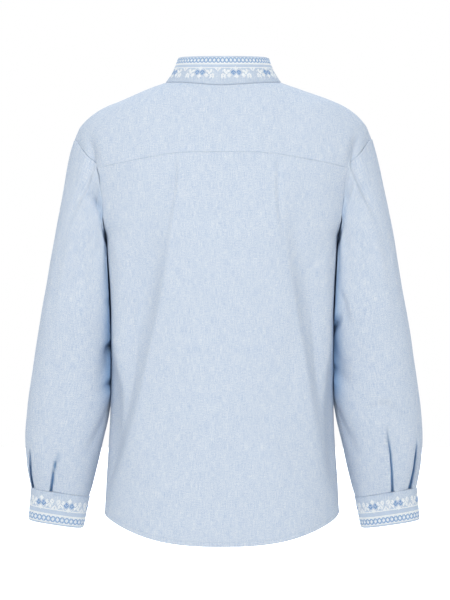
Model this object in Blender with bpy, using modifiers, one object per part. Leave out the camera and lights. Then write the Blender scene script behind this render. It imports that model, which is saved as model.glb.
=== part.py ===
"""A vyshyvanka shirt, filled out as worn, with each piece that a maker cuts as its own wall of cloth.

Metres, +Z up, the front towards -Y, +X to the wearer's left. The origin is midway between the two
points where the collar seam crosses the shoulders. One form gives the outer face of the body pieces;
seams are curves on it, and each piece is a grid between its seams, thickened inwards.
"""

import math

import bmesh
import bpy
import numpy as np
from mathutils import Matrix, Vector

MM = 0.001

# --- driving sizes ---------------------------------------------------------------------------------
CLOTH = 1.2 * MM
BAND = 2.0 * MM
SEAM_GAP = 0.4 * MM
LAY_GAP = 0.35 * MM
SEAM_LIFT = 0.45 * MM  # how far a sleeve's edge stands off the body at the armhole
BODY_CLEARANCE = 0.8 * MM
LAPPED_OUT = BAND + 2 * LAY_GAP

ROUNDNESS = 0.8  # 2 / n of the superellipse that each level section of the body follows

NECK_HALF_WIDTH = 0.0865
NECK_BACK = 0.068
NECK_FRONT = 0.072
COLLAR_TOP_HALF_WIDTH = 0.068
COLLAR_TOP_BACK = 0.058
COLLAR_TOP_FRONT = 0.062
COLLAR_TOP_Z_SIDE = 0.0355
COLLAR_TOP_Z_BACK = 0.0325
COLLAR_TOP_Z_FRONT = -0.024
COLLAR_HOLLOW = 0.0022
COLLAR_DIP = 1.6  # power with which its top edge falls from the sides
COLLAR_LAP_RISE = 0.30  # radians over which the outer end rises off the inner one
COLLAR_CLOSING = 0.030  # how far the two ends of the collar lie over each other

ARMHOLE_TOP_Z = -0.088
ARMHOLE_BOTTOM_Z = -0.235
ARMHOLE_BACK_Y = 0.071
ARMHOLE_FRONT_Y = 0.068
ARMHOLE_FULLNESS_ABOVE = 0.50  # powers of the sine: lower is fuller
ARMHOLE_FULLNESS_BELOW = 1.30

HEM_SIDE_Z = -0.645
HEM_BACK_Z = -0.6835
HEM_FRONT_Z = -0.672
HEM_BEND = 2.6

YOKE_SEAM_Z = -0.112
YOKE_FLAT_HALF = 0.070
YOKE_KINK = 0.012  # how softly its back seam turns from level to falling
SHOULDER_DEGREES = 42  # share of the neck seam that faces the top of the armhole
YOKE_FRONT_Y = -0.039  # how far in front of the shoulder line the yoke's front seam lies

SECTION_ROUNDNESS = 0.92  # 2 / n of the superellipse of a sleeve's sections
CAP_LENGTH = 0.095  # how far down the sleeve the armhole's shape is felt
RIGHT_SLEEVE_FULLER = 0.0055
FULLER_FROM = 0.1
RIGHT_SHOULDER_LIFT = 0.0025
SWAY = 0.0020  # how far the hanging cloth leans to the left at the bottom
CUFF_PROUD = 0.8 * MM

SLIT_HALF = 0.012
PLACKET_HALF = 0.0160
PLACKET_END_Z = -0.280
COLLAR_FOOT_SLOPE = 0.7
BUTTON_RADIUS = 5.5 * MM
BUTTON_THICKNESS = 2.2 * MM
BUTTON_EDGE = 0.6 * MM
BUTTON_FROM_END = 0.024
PLACKET_BUTTONS = 3

# --- how finely the walls are divided --------------------------------------------------------------
ARMHOLE_STEPS = 32
YOKE_BACK_CORNER = 6  # armhole steps from the shoulder back to the yoke seam
YOKE_FRONT_CORNER = 3
YOKE_ROWS = 8
BACK_HALF_COLUMNS = 12
NECK_FRONT_COLUMNS = 5
SIDE_ROWS = 15
SLEEVE_ROWS = 18
SLIT_ROWS = 10
FRONT_FADE = 2.6
COLLAR_ROWS = 3
COLLAR_COLUMNS = 52
PLACKET_ROWS = 12
CUFF_ROWS = 2


class Table:
    """A short table of named columns, read smoothly along its first column and never overshooting."""

    def __init__(self, columns, rows):
        values = np.array(sorted(rows), float)
        self.key = values[:, 0]
        self.value = {name: values[:, i] for i, name in enumerate(columns)}
        self.slope = {name: self.slopes(self.value[name]) for name in columns}

    def slopes(self, value):
        rise = np.diff(value) / np.diff(self.key)
        product = rise[:-1] * rise[1:]
        total = rise[:-1] + rise[1:]
        inner = np.where(product > 0, 2 * product / np.where(total == 0, 1, total), 0)
        return np.concatenate([[rise[0]], inner, [rise[-1]]])

    def at(self, key, name):
        key = np.clip(np.asarray(key, float), self.key[0], self.key[-1])
        i = np.clip(np.searchsorted(self.key, key) - 1, 0, len(self.key) - 2)
        step = self.key[i + 1] - self.key[i]
        t = (key - self.key[i]) / step
        value, slope = self.value[name], self.slope[name]
        return (
            value[i] * (1 + 2 * t) * (1 - t) ** 2
            + slope[i] * step * t * (1 - t) ** 2
            + value[i + 1] * t * t * (3 - 2 * t)
            + slope[i + 1] * step * t * t * (t - 1)
        )


# Level sections of the body: half width, and depth behind and in front of the shoulder line. Between
# the armhole's top and bottom the half width is that of the form under the sleeve.
BODY = Table(
    ("z", "half_width", "back", "front"),
    (
        (0.006, 0.066, 0.012, 0.004),
        (0.000, 0.083, 0.034, 0.012),
        (-0.005, 0.095, 0.053, 0.020),
        (-0.010, 0.107, 0.067, 0.027),
        (-0.020, 0.132, 0.075, 0.040),
        (-0.030, 0.156, 0.080, 0.050),
        (-0.040, 0.179, 0.085, 0.059),
        (-0.050, 0.195, 0.089, 0.067),
        (-0.060, 0.2065, 0.092, 0.074),
        (-0.073, 0.2165, 0.096, 0.082),
        (-0.088, 0.2222, 0.100, 0.089),
        (-0.112, 0.2200, 0.105, 0.099),
        (-0.150, 0.209, 0.111, 0.111),
        (-0.200, 0.189, 0.115, 0.121),
        (-0.235, 0.173, 0.117, 0.124),
        (-0.270, 0.1712, 0.117, 0.124),
        (-0.310, 0.1688, 0.117, 0.122),
        (-0.350, 0.1670, 0.116, 0.120),
        (-0.400, 0.1660, 0.116, 0.118),
        (-0.500, 0.1675, 0.117, 0.115),
        (-0.540, 0.1692, 0.118, 0.115),
        (-0.600, 0.1730, 0.120, 0.116),
        (-0.700, 0.1785, 0.124, 0.119),
    ),
)

# The sleeve's sections: where each meets the outer and the inner outline of the arm, where its middle
# lies front to back, and its half depth. The key is the distance down the sleeve's middle line.
SLEEVE = Table(
    ("along", "outer_x", "outer_z", "inner_x", "inner_z", "middle_y", "half_depth"),
    (
        (0.000, 0.2222, -0.0880, 0.1732, -0.2350, 0.002, 0.070),
        (0.016, 0.2290, -0.1110, 0.1735, -0.2420, 0.002, 0.071),
        (0.044, 0.2362, -0.1500, 0.1722, -0.2560, 0.002, 0.070),
        (0.080, 0.2450, -0.2000, 0.1705, -0.2800, 0.001, 0.068),
        (0.115, 0.2530, -0.2460, 0.1695, -0.3060, 0.000, 0.066),
        (0.160, 0.2622, -0.3000, 0.1682, -0.3410, -0.001, 0.063),
        (0.214, 0.2740, -0.3635, 0.1670, -0.3870, -0.005, 0.060),
        (0.281, 0.2855, -0.4355, 0.1675, -0.4495, -0.011, 0.057),
        (0.334, 0.2930, -0.4900, 0.1714, -0.5000, -0.016, 0.055),
        (0.378, 0.2963, -0.5355, 0.1812, -0.5440, -0.020, 0.053),
        (0.415, 0.2942, -0.5720, 0.1892, -0.5800, -0.022, 0.048),
        (0.440, 0.2905, -0.5960, 0.1955, -0.6055, -0.024, 0.041),
        (0.455, 0.2877, -0.6095, 0.2008, -0.6230, -0.025, 0.034),
    ),
)
SLEEVE_LENGTH = SLEEVE.key[-1]
CUFF_END = {"outer_x": 0.2920, "outer_z": -0.6575, "inner_x": 0.2105, "inner_z": -0.6700}
CUFF_END_MIDDLE_Y = -0.027
CUFF_END_HALF_DEPTH = 0.032

# Knife pleats above the cuff: place round the sleeve in degrees (0 outer edge, 90 back, 270 front),
# the column that runs down each, depth at the cuff and height.
PLEATS = (
    {"column": 3, "degrees": 29, "depth": 0.0085, "height": 0.075},
    {"column": 7, "degrees": 79, "depth": 0.0075, "height": 0.070},
    {"column": 25, "degrees": 279, "depth": 0.0075, "height": 0.070},
    {"column": 29, "degrees": 327, "depth": 0.0080, "height": 0.072},
)
PLEAT_HALF_DEGREES = 5.5

# Soft folds of the body: where each starts and ends (x and z of its line), depth, and reach across.
# A positive side is the back. The cloth falls away on the outer side of the line.
BODY_FOLDS = (
    {"side": 1, "top": (0.066, -0.120), "end": (0.160, -0.600), "depth": 0.0090, "reach": 0.020},
    {"side": 1, "top": (-0.077, -0.120), "end": (-0.162, -0.560), "depth": 0.0085, "reach": 0.020},
    {"side": -1, "top": (0.085, -0.235), "end": (0.118, -0.640), "depth": 0.0080, "reach": 0.020},
    {"side": -1, "top": (-0.080, -0.235), "end": (-0.126, -0.640), "depth": 0.0085, "reach": 0.021},
)
FOLD_SPREAD = 1.35  # how the fold's line bends outwards on its way down
FOLD_ONSET = 0.35  # share of its length over which a fold deepens
FOLD_SIDE_FADE = 0.05  # a fold dies out this far from the side seams
FOLD_CREST = 0.3  # how far its crest stands out, as a share of its depth

# Soft folds of the sleeves: place round the sleeve and distance down it at both ends, depth and width.
SLEEVE_FOLDS = (
    {"from": (112, 0.030), "to": (70, 0.190), "depth": 0.0050, "half_width": 15},
    {"from": (168, 0.190), "to": (120, 0.300), "depth": 0.0045, "half_width": 14},
    {"from": (175, 0.300), "to": (128, 0.400), "depth": 0.0045, "half_width": 14},
    {"from": (248, 0.040), "to": (290, 0.200), "depth": 0.0050, "half_width": 15},
    {"from": (200, 0.215), "to": (240, 0.320), "depth": 0.0045, "half_width": 14},
)

CHAMBRAY = {"name": "chambray", "colour": (0.60, 0.69, 0.81, 1), "roughness": 0.9}
CHAMBRAY_BAND = {"name": "embroidered_band", "colour": (0.56, 0.66, 0.81, 1), "roughness": 0.85}
BUTTON_RESIN = {"name": "button_resin", "colour": (0.86, 0.89, 0.92, 1), "roughness": 0.3}


# --- the form that the body pieces lie on ----------------------------------------------------------
def smooth(t):
    t = np.clip(t, 0, 1)
    return t * t * (3 - 2 * t)


def body_depth(y, z):
    return np.where(y >= 0, BODY.at(z, "back"), BODY.at(z, "front"))


def form(turn, z):
    """A point of the form: turn is 0 at the wearer's left side and a quarter turn at the back."""
    c, s = np.cos(turn), np.sin(turn)
    x = BODY.at(z, "half_width") * np.sign(c) * np.abs(c) ** ROUNDNESS
    y = body_depth(s, z) * np.sign(s) * np.abs(s) ** ROUNDNESS
    return np.stack([x, y, z + 0 * x], axis=-1)


def turn_of(x, y, z):
    """The turn at which the form's level z lies in the direction of (x, y)."""
    along = np.sign(x) * (np.abs(x) / BODY.at(z, "half_width")) ** (1 / ROUNDNESS)
    across = np.sign(y) * (np.abs(y) / body_depth(y, z)) ** (1 / ROUNDNESS)
    return np.arctan2(across, along)


def roof_z(x, y):
    """The height of the shoulders over a place in plan."""
    low = np.full(np.shape(x), ARMHOLE_TOP_Z)
    high = np.full(np.shape(x), BODY.key[-1])
    for _ in range(50):
        z = (low + high) / 2
        power = 2 / ROUNDNESS
        inside = (
            np.abs(x / BODY.at(z, "half_width")) ** power + np.abs(y / body_depth(y, z)) ** power < 1
        )
        low, high = np.where(inside, z, low), np.where(inside, high, z)
    return (low + high) / 2


def half_width_at(y, z):
    """How far the form reaches to each side at a depth and height."""
    power = 2 / ROUNDNESS
    inside = 1 - np.minimum(np.abs(y / body_depth(y, z)), 1) ** power
    return BODY.at(z, "half_width") * inside ** (1 / power)


def form_normal(turn, z):
    turn_step, z_step = 1e-4, 1e-5
    around = form(turn + turn_step, z) - form(turn - turn_step, z)
    down = form(turn, z - z_step) - form(turn, z + z_step)
    normal = np.cross(down, around)
    return normal / np.linalg.norm(normal, axis=-1, keepdims=True)


def body_fold(point):
    """How far the soft folds move the cloth out at points of the form."""
    x, y, z = point[..., 0], point[..., 1], point[..., 2]
    moved = np.zeros(np.shape(x))
    for fold in BODY_FOLDS:
        (top_x, top_z), (end_x, end_z) = fold["top"], fold["end"]
        t = np.clip((top_z - z) / (top_z - end_z), 0, 1.3)
        outward = np.sign(top_x)
        off = outward * (x - (top_x + (end_x - top_x) * t**FOLD_SPREAD))
        reach = fold["reach"] * (0.5 + 0.9 * t)
        trough = np.where(off > 0, off / reach * np.exp(1 - np.maximum(off, 0) / reach), 0)
        ridge = FOLD_CREST * np.exp(-((off / reach) ** 2))
        here = smooth(t / FOLD_ONSET) * smooth(np.abs(y) / FOLD_SIDE_FADE)
        here = here * (np.sign(y) == fold["side"])
        moved += fold["depth"] * here * (ridge - trough)
    return moved


def swayed(point):
    """Points with the lean of the hanging cloth added, and the right shoulder a little higher."""
    x, z = point[..., 0], point[..., 2]
    lean = SWAY * smooth(-z / 0.3)
    lift = RIGHT_SHOULDER_LIFT * smooth((-x - 0.09) / 0.07) * smooth((z + 0.16) / 0.10)
    return point + np.stack([lean, 0 * x, lift], axis=-1)


def skin(turn, z, out=0.0):
    """The outer face of the body, with its folds, moved out by a distance."""
    point, normal = form(turn, z), form_normal(turn, z)
    return point + normal * (body_fold(point) + out)[..., None]


# --- seams, as turn and height on the form ---------------------------------------------------------
def on_form(x, y, z):
    return np.stack([turn_of(x, y, z), z], axis=-1)


def armhole(step):
    """The left armhole at a step round it: 0 at the shoulder, on to the back, the underarm, the front."""
    around = 2 * math.pi * np.asarray(step, float) / ARMHOLE_STEPS
    middle = (ARMHOLE_TOP_Z + ARMHOLE_BOTTOM_Z) / 2
    z = middle + (ARMHOLE_TOP_Z - middle) * np.cos(around)
    s = np.sin(around)
    fullness = np.where(z > middle, ARMHOLE_FULLNESS_ABOVE, ARMHOLE_FULLNESS_BELOW)
    y = np.where(s > 0, ARMHOLE_BACK_Y, ARMHOLE_FRONT_Y) * np.sign(s) * np.abs(s) ** fullness
    return on_form(half_width_at(y, z), y, z)


def neck(angle):
    """The neck seam at a plan angle: 0 on the left shoulder, a quarter turn at the back."""
    x = NECK_HALF_WIDTH * np.cos(angle)
    y = np.where(np.sin(angle) > 0, NECK_BACK, NECK_FRONT) * np.sin(angle)
    return on_form(x, y, roof_z(x, y))


def yoke_seam(x, corner_x, corner_z):
    """Height of the back yoke seam: level in the middle, then falling to the armhole."""
    fall = np.logaddexp(0, (np.abs(x) - YOKE_FLAT_HALF) / YOKE_KINK)
    end = np.logaddexp(0, (corner_x - YOKE_FLAT_HALF) / YOKE_KINK)
    return YOKE_SEAM_Z + (corner_z - YOKE_SEAM_Z) * fall / end


def hem_z(turn):
    lowest = np.where(np.sin(turn) > 0, HEM_BACK_Z, HEM_FRONT_Z)
    share = np.abs(np.cos(turn)) ** (ROUNDNESS * HEM_BEND)
    return lowest + (HEM_SIDE_Z - lowest) * share


# --- grids between seams ---------------------------------------------------------------------------
def coons(top, bottom, start, end, fade=1.0):
    """A grid between four edges: top and bottom run across, start and end run down."""
    across = np.linspace(0, 1, len(top))[None, :, None]
    down = 1 - np.linspace(1, 0, len(start))[:, None, None] ** fade
    ruled_down = (1 - down) * top[None] + down * bottom[None]
    ruled_across = (1 - across) * start[:, None] + across * end[:, None]
    corners = (
        (1 - down) * (1 - across) * top[0]
        + (1 - down) * across * top[-1]
        + down * (1 - across) * bottom[0]
        + down * across * bottom[-1]
    )
    return ruled_down + ruled_across - corners


def mirrored(half):
    """A left half grid, from the side to the middle, with its mirror image added."""
    other = half[:, -2::-1].copy()
    other[..., 0] = 2 * half[:1, -1:, 0] - other[..., 0]
    return np.concatenate([half, other], axis=1)


def line(a, b, steps):
    return np.linspace(np.asarray(a, float), np.asarray(b, float), steps + 1)


def side_seam():
    return line((0, ARMHOLE_BOTTOM_Z), (0, HEM_SIDE_Z), SIDE_ROWS)


def back_corner():
    turn, z = armhole(YOKE_BACK_CORNER)
    return form(turn, z)


def back_yoke_edge():
    """The back yoke seam from the left armhole to the middle, as turn and height."""
    corner_x, corner_y, corner_z = back_corner()
    x = np.linspace(corner_x, 0, BACK_HALF_COLUMNS + 1)
    z = yoke_seam(x, corner_x, corner_z)
    power = 2 / ROUNDNESS
    y = BODY.at(z, "back") * (1 - (x / BODY.at(z, "half_width")) ** power) ** (1 / power)
    edge = on_form(x, y, z)
    edge[0] = armhole(YOKE_BACK_CORNER)
    return edge


def neck_front_angle():
    """The plan angle at which the yoke's front seam meets the neck."""
    return math.asin(YOKE_FRONT_Y / NECK_FRONT)


def front_yoke_edge():
    """The yoke's front seam from the neck to the left armhole."""
    start, end = neck(neck_front_angle()), armhole(-YOKE_FRONT_CORNER)
    a, b = form(*start), form(*end)
    t = np.linspace(0, 1, YOKE_ROWS + 1)
    x, y = a[0] + (b[0] - a[0]) * t, a[1] + (b[1] - a[1]) * t
    edge = on_form(x, y, roof_z(x, y))
    edge[0], edge[-1] = start, end
    return edge


def yoke_grid():
    armhole_edge = armhole(np.arange(-YOKE_FRONT_CORNER, YOKE_BACK_CORNER + 1))
    outer = np.concatenate([armhole_edge, back_yoke_edge()[1:]])
    front = line(neck_front_angle(), 0, YOKE_FRONT_CORNER)
    turned = math.radians(SHOULDER_DEGREES)
    shoulder = line(0, turned, YOKE_BACK_CORNER)[1:]
    back = line(turned, math.pi / 2, BACK_HALF_COLUMNS)[1:]
    inner = neck(np.concatenate([front, shoulder, back]))
    inner[-1, 0] = math.pi / 2
    middle = line(inner[-1], outer[-1], YOKE_ROWS)
    return mirrored(coons(inner, outer, front_yoke_edge(), middle))


def back_grid():
    side = np.concatenate([armhole(np.arange(YOKE_BACK_CORNER, ARMHOLE_STEPS // 2 + 1)), side_seam()[1:]])
    top = back_yoke_edge()
    turn = np.linspace(0, math.pi / 2, BACK_HALF_COLUMNS + 1)
    bottom = np.stack([turn, hem_z(turn)], axis=-1)
    middle = line(top[-1], bottom[-1], len(side) - 1)
    return mirrored(coons(top, bottom, side, middle))


def front_line_turn(x, z):
    """The turn of the upright line at a distance x left of the middle of the front."""
    return -math.pi / 2 + np.arcsin((x / BODY.at(z, "half_width")) ** (1 / ROUNDNESS))


def front_grid():
    """The front from the left side to the right: the two middle columns lie over the slit."""
    steps = np.arange(-YOKE_FRONT_CORNER, -ARMHOLE_STEPS // 2 - 1, -1)
    side = np.concatenate([armhole(steps), side_seam()[1:]])
    side[len(steps) - 1, 0] = 0
    neck_start, neck_end = neck_front_angle(), -math.acos(SLIT_HALF / NECK_HALF_WIDTH)
    neck_edge = neck(line(neck_start, neck_end, NECK_FRONT_COLUMNS))
    top = np.concatenate([front_yoke_edge()[::-1], neck_edge[1:]])
    slit_top, slit_end = top[-1, 1], HEM_FRONT_Z
    z = np.linspace(slit_top, slit_end, len(side))
    slit = np.stack([front_line_turn(SLIT_HALF, z), z], axis=-1)
    slit[-1, 1] = hem_z(slit[-1, 0])
    columns = len(top)
    turn = np.linspace(0, slit[-1, 0], columns)
    bottom = np.stack([turn, hem_z(turn)], axis=-1)
    half = coons(top, bottom, side, slit, FRONT_FADE)
    middle = np.stack([np.full(len(z), -math.pi / 2), half[:, -1, 1]], axis=-1)
    return mirrored(np.concatenate([half, middle[:, None]], axis=1))


# --- walls -----------------------------------------------------------------------------------------
def material(spec):
    made = bpy.data.materials.get(spec["name"])
    if made is None:
        made = bpy.data.materials.new(spec["name"])
        made.use_nodes = True
        shader = made.node_tree.nodes["Principled BSDF"]
        shader.inputs["Base Color"].default_value = spec["colour"]
        shader.inputs["Roughness"].default_value = spec["roughness"]
        made.diffuse_color = spec["colour"]
    return made


def drawn_in(grid, gap, around=False):
    """A grid whose open edges are moved back from their seams by a distance."""
    grid = grid.copy()
    for edge, inner in ((0, 1), (-1, -2)):
        away = grid[inner] - grid[edge]
        grid[edge] += gap * away / np.linalg.norm(away, axis=-1, keepdims=True)
    if not around:
        for edge, inner in ((0, 1), (-1, -2)):
            away = grid[:, inner] - grid[:, edge]
            grid[:, edge] += gap * away / np.linalg.norm(away, axis=-1, keepdims=True)
    return grid


def wall(name, grid, thickness, spec, around=False, left_out=None, flip=False):
    """An object from a grid of outer-face points, thickened inwards by a Solidify modifier."""
    rows, columns = grid.shape[:2]
    mesh = bpy.data.meshes.new(name)
    shape = bmesh.new()
    points = [[shape.verts.new(p) for p in row] for row in grid]
    for i in range(rows - 1):
        for j in range(columns if around else columns - 1):
            if left_out is not None and left_out(i, j):
                continue
            k = (j + 1) % columns
            corners = [points[i][j], points[i][k], points[i + 1][k], points[i + 1][j]]
            shape.faces.new(corners[::-1] if flip else corners)
    loose = [v for v in shape.verts if not v.link_faces]
    bmesh.ops.delete(shape, geom=loose, context="VERTS")
    shape.to_mesh(mesh)
    shape.free()
    mesh.shade_smooth()
    made = bpy.data.objects.new(name, mesh)
    made.data.materials.append(material(spec))
    GARMENT.objects.link(made)
    solid = made.modifiers.new("wall", "SOLIDIFY")
    solid.thickness = thickness
    solid.offset = -1
    return made


# --- sleeves and cuffs -----------------------------------------------------------------------------
def ring(centre_x, centre_z, half_x, half_z, middle_y, half_depth, around):
    """A section of a sleeve: around is 0 at its outer edge and a quarter turn at the back."""
    c = np.sign(np.cos(around)) * np.abs(np.cos(around)) ** SECTION_ROUNDNESS
    s = np.sign(np.sin(around)) * np.abs(np.sin(around)) ** SECTION_ROUNDNESS
    return np.stack([centre_x + half_x * c, middle_y + half_depth * s, centre_z + half_z * c], axis=-1)


def sleeve_section(along, around, fuller=0.0):
    outer_x = SLEEVE.at(along, "outer_x") + fuller * smooth(along / FULLER_FROM)
    outer_z = SLEEVE.at(along, "outer_z")
    inner_x, inner_z = SLEEVE.at(along, "inner_x"), SLEEVE.at(along, "inner_z")
    return ring(
        (outer_x + inner_x) / 2,
        (outer_z + inner_z) / 2,
        (outer_x - inner_x) / 2,
        (outer_z - inner_z) / 2,
        SLEEVE.at(along, "middle_y"),
        SLEEVE.at(along, "half_depth"),
        around,
    )


def cuff_section(share, around, out=0.0, fuller=0.0):
    """A ring of the cuff, share of the way from the sleeve to the hand."""
    start = {name: SLEEVE.at(SLEEVE_LENGTH, name) for name in CUFF_END}
    now = {name: start[name] + (CUFF_END[name] - start[name]) * share for name in CUFF_END}
    now["outer_x"] = now["outer_x"] + fuller
    middle_y = SLEEVE.at(SLEEVE_LENGTH, "middle_y")
    half_depth = SLEEVE.at(SLEEVE_LENGTH, "half_depth")
    half_x, half_z = (now["outer_x"] - now["inner_x"]) / 2, (now["outer_z"] - now["inner_z"]) / 2
    grow = 1 + out / np.hypot(half_x, half_z)
    return ring(
        (now["outer_x"] + now["inner_x"]) / 2,
        (now["outer_z"] + now["inner_z"]) / 2,
        half_x * grow,
        half_z * grow,
        middle_y + (CUFF_END_MIDDLE_Y - middle_y) * share,
        half_depth + (CUFF_END_HALF_DEPTH - half_depth) * share + out,
        around,
    )


def column_turns():
    """Where each column lies round the sleeve at the cuff: three of them run down each pleat."""
    known = {}
    for pleat in PLEATS:
        for side in (-1, 0, 1):
            known[pleat["column"] + side] = pleat["degrees"] + side * PLEAT_HALF_DEGREES
    known[ARMHOLE_STEPS // 2] = 180
    columns = sorted(known)
    wrapped = [columns[-1] - ARMHOLE_STEPS] + columns + [columns[0] + ARMHOLE_STEPS]
    degrees = [known[columns[-1]] - 360] + [known[c] for c in columns] + [known[columns[0]] + 360]
    return np.radians(np.interp(np.arange(ARMHOLE_STEPS), wrapped, degrees))


def between(a, b, t):
    return a + (b - a) * t


def turn_apart(a, b):
    """The signed angle from b to a, within half a turn."""
    return (a - b + math.pi) % (2 * math.pi) - math.pi


def sleeve_fold(along, around):
    """How far the soft folds and the pleats draw the sleeve's cloth in."""
    moved = np.zeros(np.broadcast(along, around).shape)
    for fold in SLEEVE_FOLDS:
        (turn_a, along_a), (turn_b, along_b) = fold["from"], fold["to"]
        t = (along - along_a) / (along_b - along_a)
        off = turn_apart(around, np.radians(between(turn_a, turn_b, t)))
        here = np.where((t > 0) & (t < 1), np.sin(math.pi * np.clip(t, 0, 1)), 0)
        moved += fold["depth"] * here * np.exp(-((off / math.radians(fold["half_width"])) ** 2))
    for pleat in PLEATS:
        t = np.clip((SLEEVE_LENGTH - along) / pleat["height"], 0, 1)
        half = math.radians(PLEAT_HALF_DEGREES) * (0.9 + 2.2 * t)
        off = turn_apart(around, np.radians(pleat["degrees"] + 6 * t))
        moved += pleat["depth"] * (1 - smooth(t)) * np.exp(-((off / half) ** 2) * 2)
    return moved


def clear_of_body(grid):
    """Sleeve points beside the body, moved out where they would come too near it."""
    y, z = grid[..., 1], np.clip(grid[..., 2], HEM_SIDE_Z, ARMHOLE_TOP_Z)
    moved = grid.copy()
    moved[..., 0] = np.maximum(grid[..., 0], half_width_at(y, z) + BODY_CLEARANCE)
    return moved


def sleeve_grid(fuller):
    even = 2 * math.pi * np.arange(ARMHOLE_STEPS) / ARMHOLE_STEPS
    at_cuff = column_turns()
    edge = armhole(np.arange(ARMHOLE_STEPS))
    seam = skin(edge[:, 0], edge[:, 1], SEAM_LIFT)
    from_seam = seam - sleeve_section(0.0, even)
    share = np.linspace(0, 1, SLEEVE_ROWS + 1)
    along = SLEEVE_LENGTH * (0.75 * share + 0.25 * (1 - (1 - share) ** 2))[:, None]
    gather = smooth((along / SLEEVE_LENGTH - 0.45) / 0.5)
    around = even + turn_apart(at_cuff, even) * gather
    grid = sleeve_section(along + 0 * around, around, fuller)
    grid = grid + from_seam[None] * (1 - smooth(along / CAP_LENGTH))[..., None]
    middle = grid.mean(axis=1, keepdims=True)
    inward = middle - grid
    inward /= np.linalg.norm(inward, axis=-1, keepdims=True)
    grid = grid + inward * sleeve_fold(along, around)[..., None]
    grid[1:] = clear_of_body(grid[1:])
    return grid


def to_side(grid, side):
    """The grid on the wearer's left (side 1), or mirrored to the right (side -1)."""
    return swayed(grid * np.array([side, 1, 1]))


def build_sleeve(side, word):
    fuller = RIGHT_SLEEVE_FULLER if side < 0 else 0.0
    sleeve = drawn_in(sleeve_grid(fuller), SEAM_GAP, around=True)
    wall(f"sleeve_{word}", to_side(sleeve, side), CLOTH, CHAMBRAY, around=True, flip=side > 0)
    even = 2 * math.pi * np.arange(ARMHOLE_STEPS) / ARMHOLE_STEPS
    shares = np.linspace(0, 1, CUFF_ROWS + 1)[:, None]
    cuff = cuff_section(shares + 0 * even, even + 0 * shares, CUFF_PROUD, fuller)
    cuff = drawn_in(cuff, SEAM_GAP, around=True)
    wall(f"cuff_{word}", to_side(cuff, side), BAND, CHAMBRAY_BAND, around=True, flip=side > 0)


# --- collar ----------------------------------------------------------------------------------------
def collar_top(angle):
    s = np.sin(angle)
    x = COLLAR_TOP_HALF_WIDTH * np.cos(angle)
    y = np.where(s > 0, COLLAR_TOP_BACK, COLLAR_TOP_FRONT) * s
    end_z = np.where(s > 0, COLLAR_TOP_Z_BACK, COLLAR_TOP_Z_FRONT)
    z = COLLAR_TOP_Z_SIDE + (end_z - COLLAR_TOP_Z_SIDE) * np.abs(s) ** COLLAR_DIP
    return np.stack([x, y, z], axis=-1)


def collar_point(angle, share, out):
    """A point of the collar band: share 0 on the neck seam and 1 on the top edge."""
    seam = neck(angle)
    foot = skin(seam[..., 0], seam[..., 1], LAY_GAP)
    top = collar_top(angle)
    point = foot + (top - foot) * share[..., None]
    lean = np.stack([np.cos(angle), np.sin(angle), 0 * angle], axis=-1)
    hollow = COLLAR_HOLLOW * np.sin(math.pi * share) * np.abs(np.cos(angle)) ** 2
    return point + lean * (out - hollow)[..., None]


def collar_lap():
    """Half the angle over which the two ends of the collar lie over each other."""
    return COLLAR_CLOSING / 2 / NECK_HALF_WIDTH


def build_collar():
    """One band round the neck, from its left end at the front, behind the neck, to the right end."""
    start = -math.pi / 2 - collar_lap()
    angle = np.linspace(start, start + 2 * math.pi + 2 * collar_lap(), COLLAR_COLUMNS + 1)[None]
    share = np.linspace(0, 1, COLLAR_ROWS + 1)[:, None]
    to_end = angle - angle[0, -1]
    over = LAPPED_OUT * smooth(1 + (to_end + 2 * collar_lap()) / COLLAR_LAP_RISE)
    grid = collar_point(angle + 0 * share, share + 0 * angle, over + 0 * share)
    wall("collar", drawn_in(grid, SEAM_GAP), BAND, CHAMBRAY_BAND)


# --- front placket and buttons ---------------------------------------------------------------------
def placket_face(x, z, out):
    """Points of an upright band on the middle of the front, moved out from the body's face."""
    turn = front_line_turn(np.abs(x), z)
    turn = np.where(x >= 0, turn, -math.pi - turn)
    return swayed(skin(turn, z + 0 * x, out))


def placket_top(out):
    """The height at which a band that lies a distance out from the body passes under the collar."""
    return form(*neck(-math.pi / 2))[2] - LAY_GAP - out * COLLAR_FOOT_SLOPE


def build_placket():
    x = np.linspace(PLACKET_HALF, -PLACKET_HALF, 5)[None]
    for name, layer in (("placket_under", 1), ("placket_outer", 2)):
        out = layer * (CLOTH + LAY_GAP)
        z = np.linspace(placket_top(out), PLACKET_END_Z, PLACKET_ROWS + 1)[:, None]
        wall(name, placket_face(x + 0 * z, z + 0 * x, out), CLOTH, CHAMBRAY)


def build_button(name, centre, outward):
    """A round button lying on a face, its back on the given centre."""
    bpy.ops.mesh.primitive_cylinder_add(
        vertices=20, radius=BUTTON_RADIUS, depth=BUTTON_THICKNESS, location=(0, 0, 0)
    )
    made = bpy.context.object
    made.name = name
    made.data.name = name
    turned = Vector((0, 0, 1)).rotation_difference(Vector(outward))
    middle = Vector(centre) + Vector(outward) * (BUTTON_THICKNESS / 2 + LAY_GAP)
    made.data.transform(Matrix.Translation(middle) @ turned.to_matrix().to_4x4())
    made.data.materials.append(material(BUTTON_RESIN))
    for home in list(made.users_collection):
        home.objects.unlink(made)
    GARMENT.objects.link(made)
    edge = made.modifiers.new("edge", "BEVEL")
    edge.width = BUTTON_EDGE
    edge.segments = 1


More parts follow.
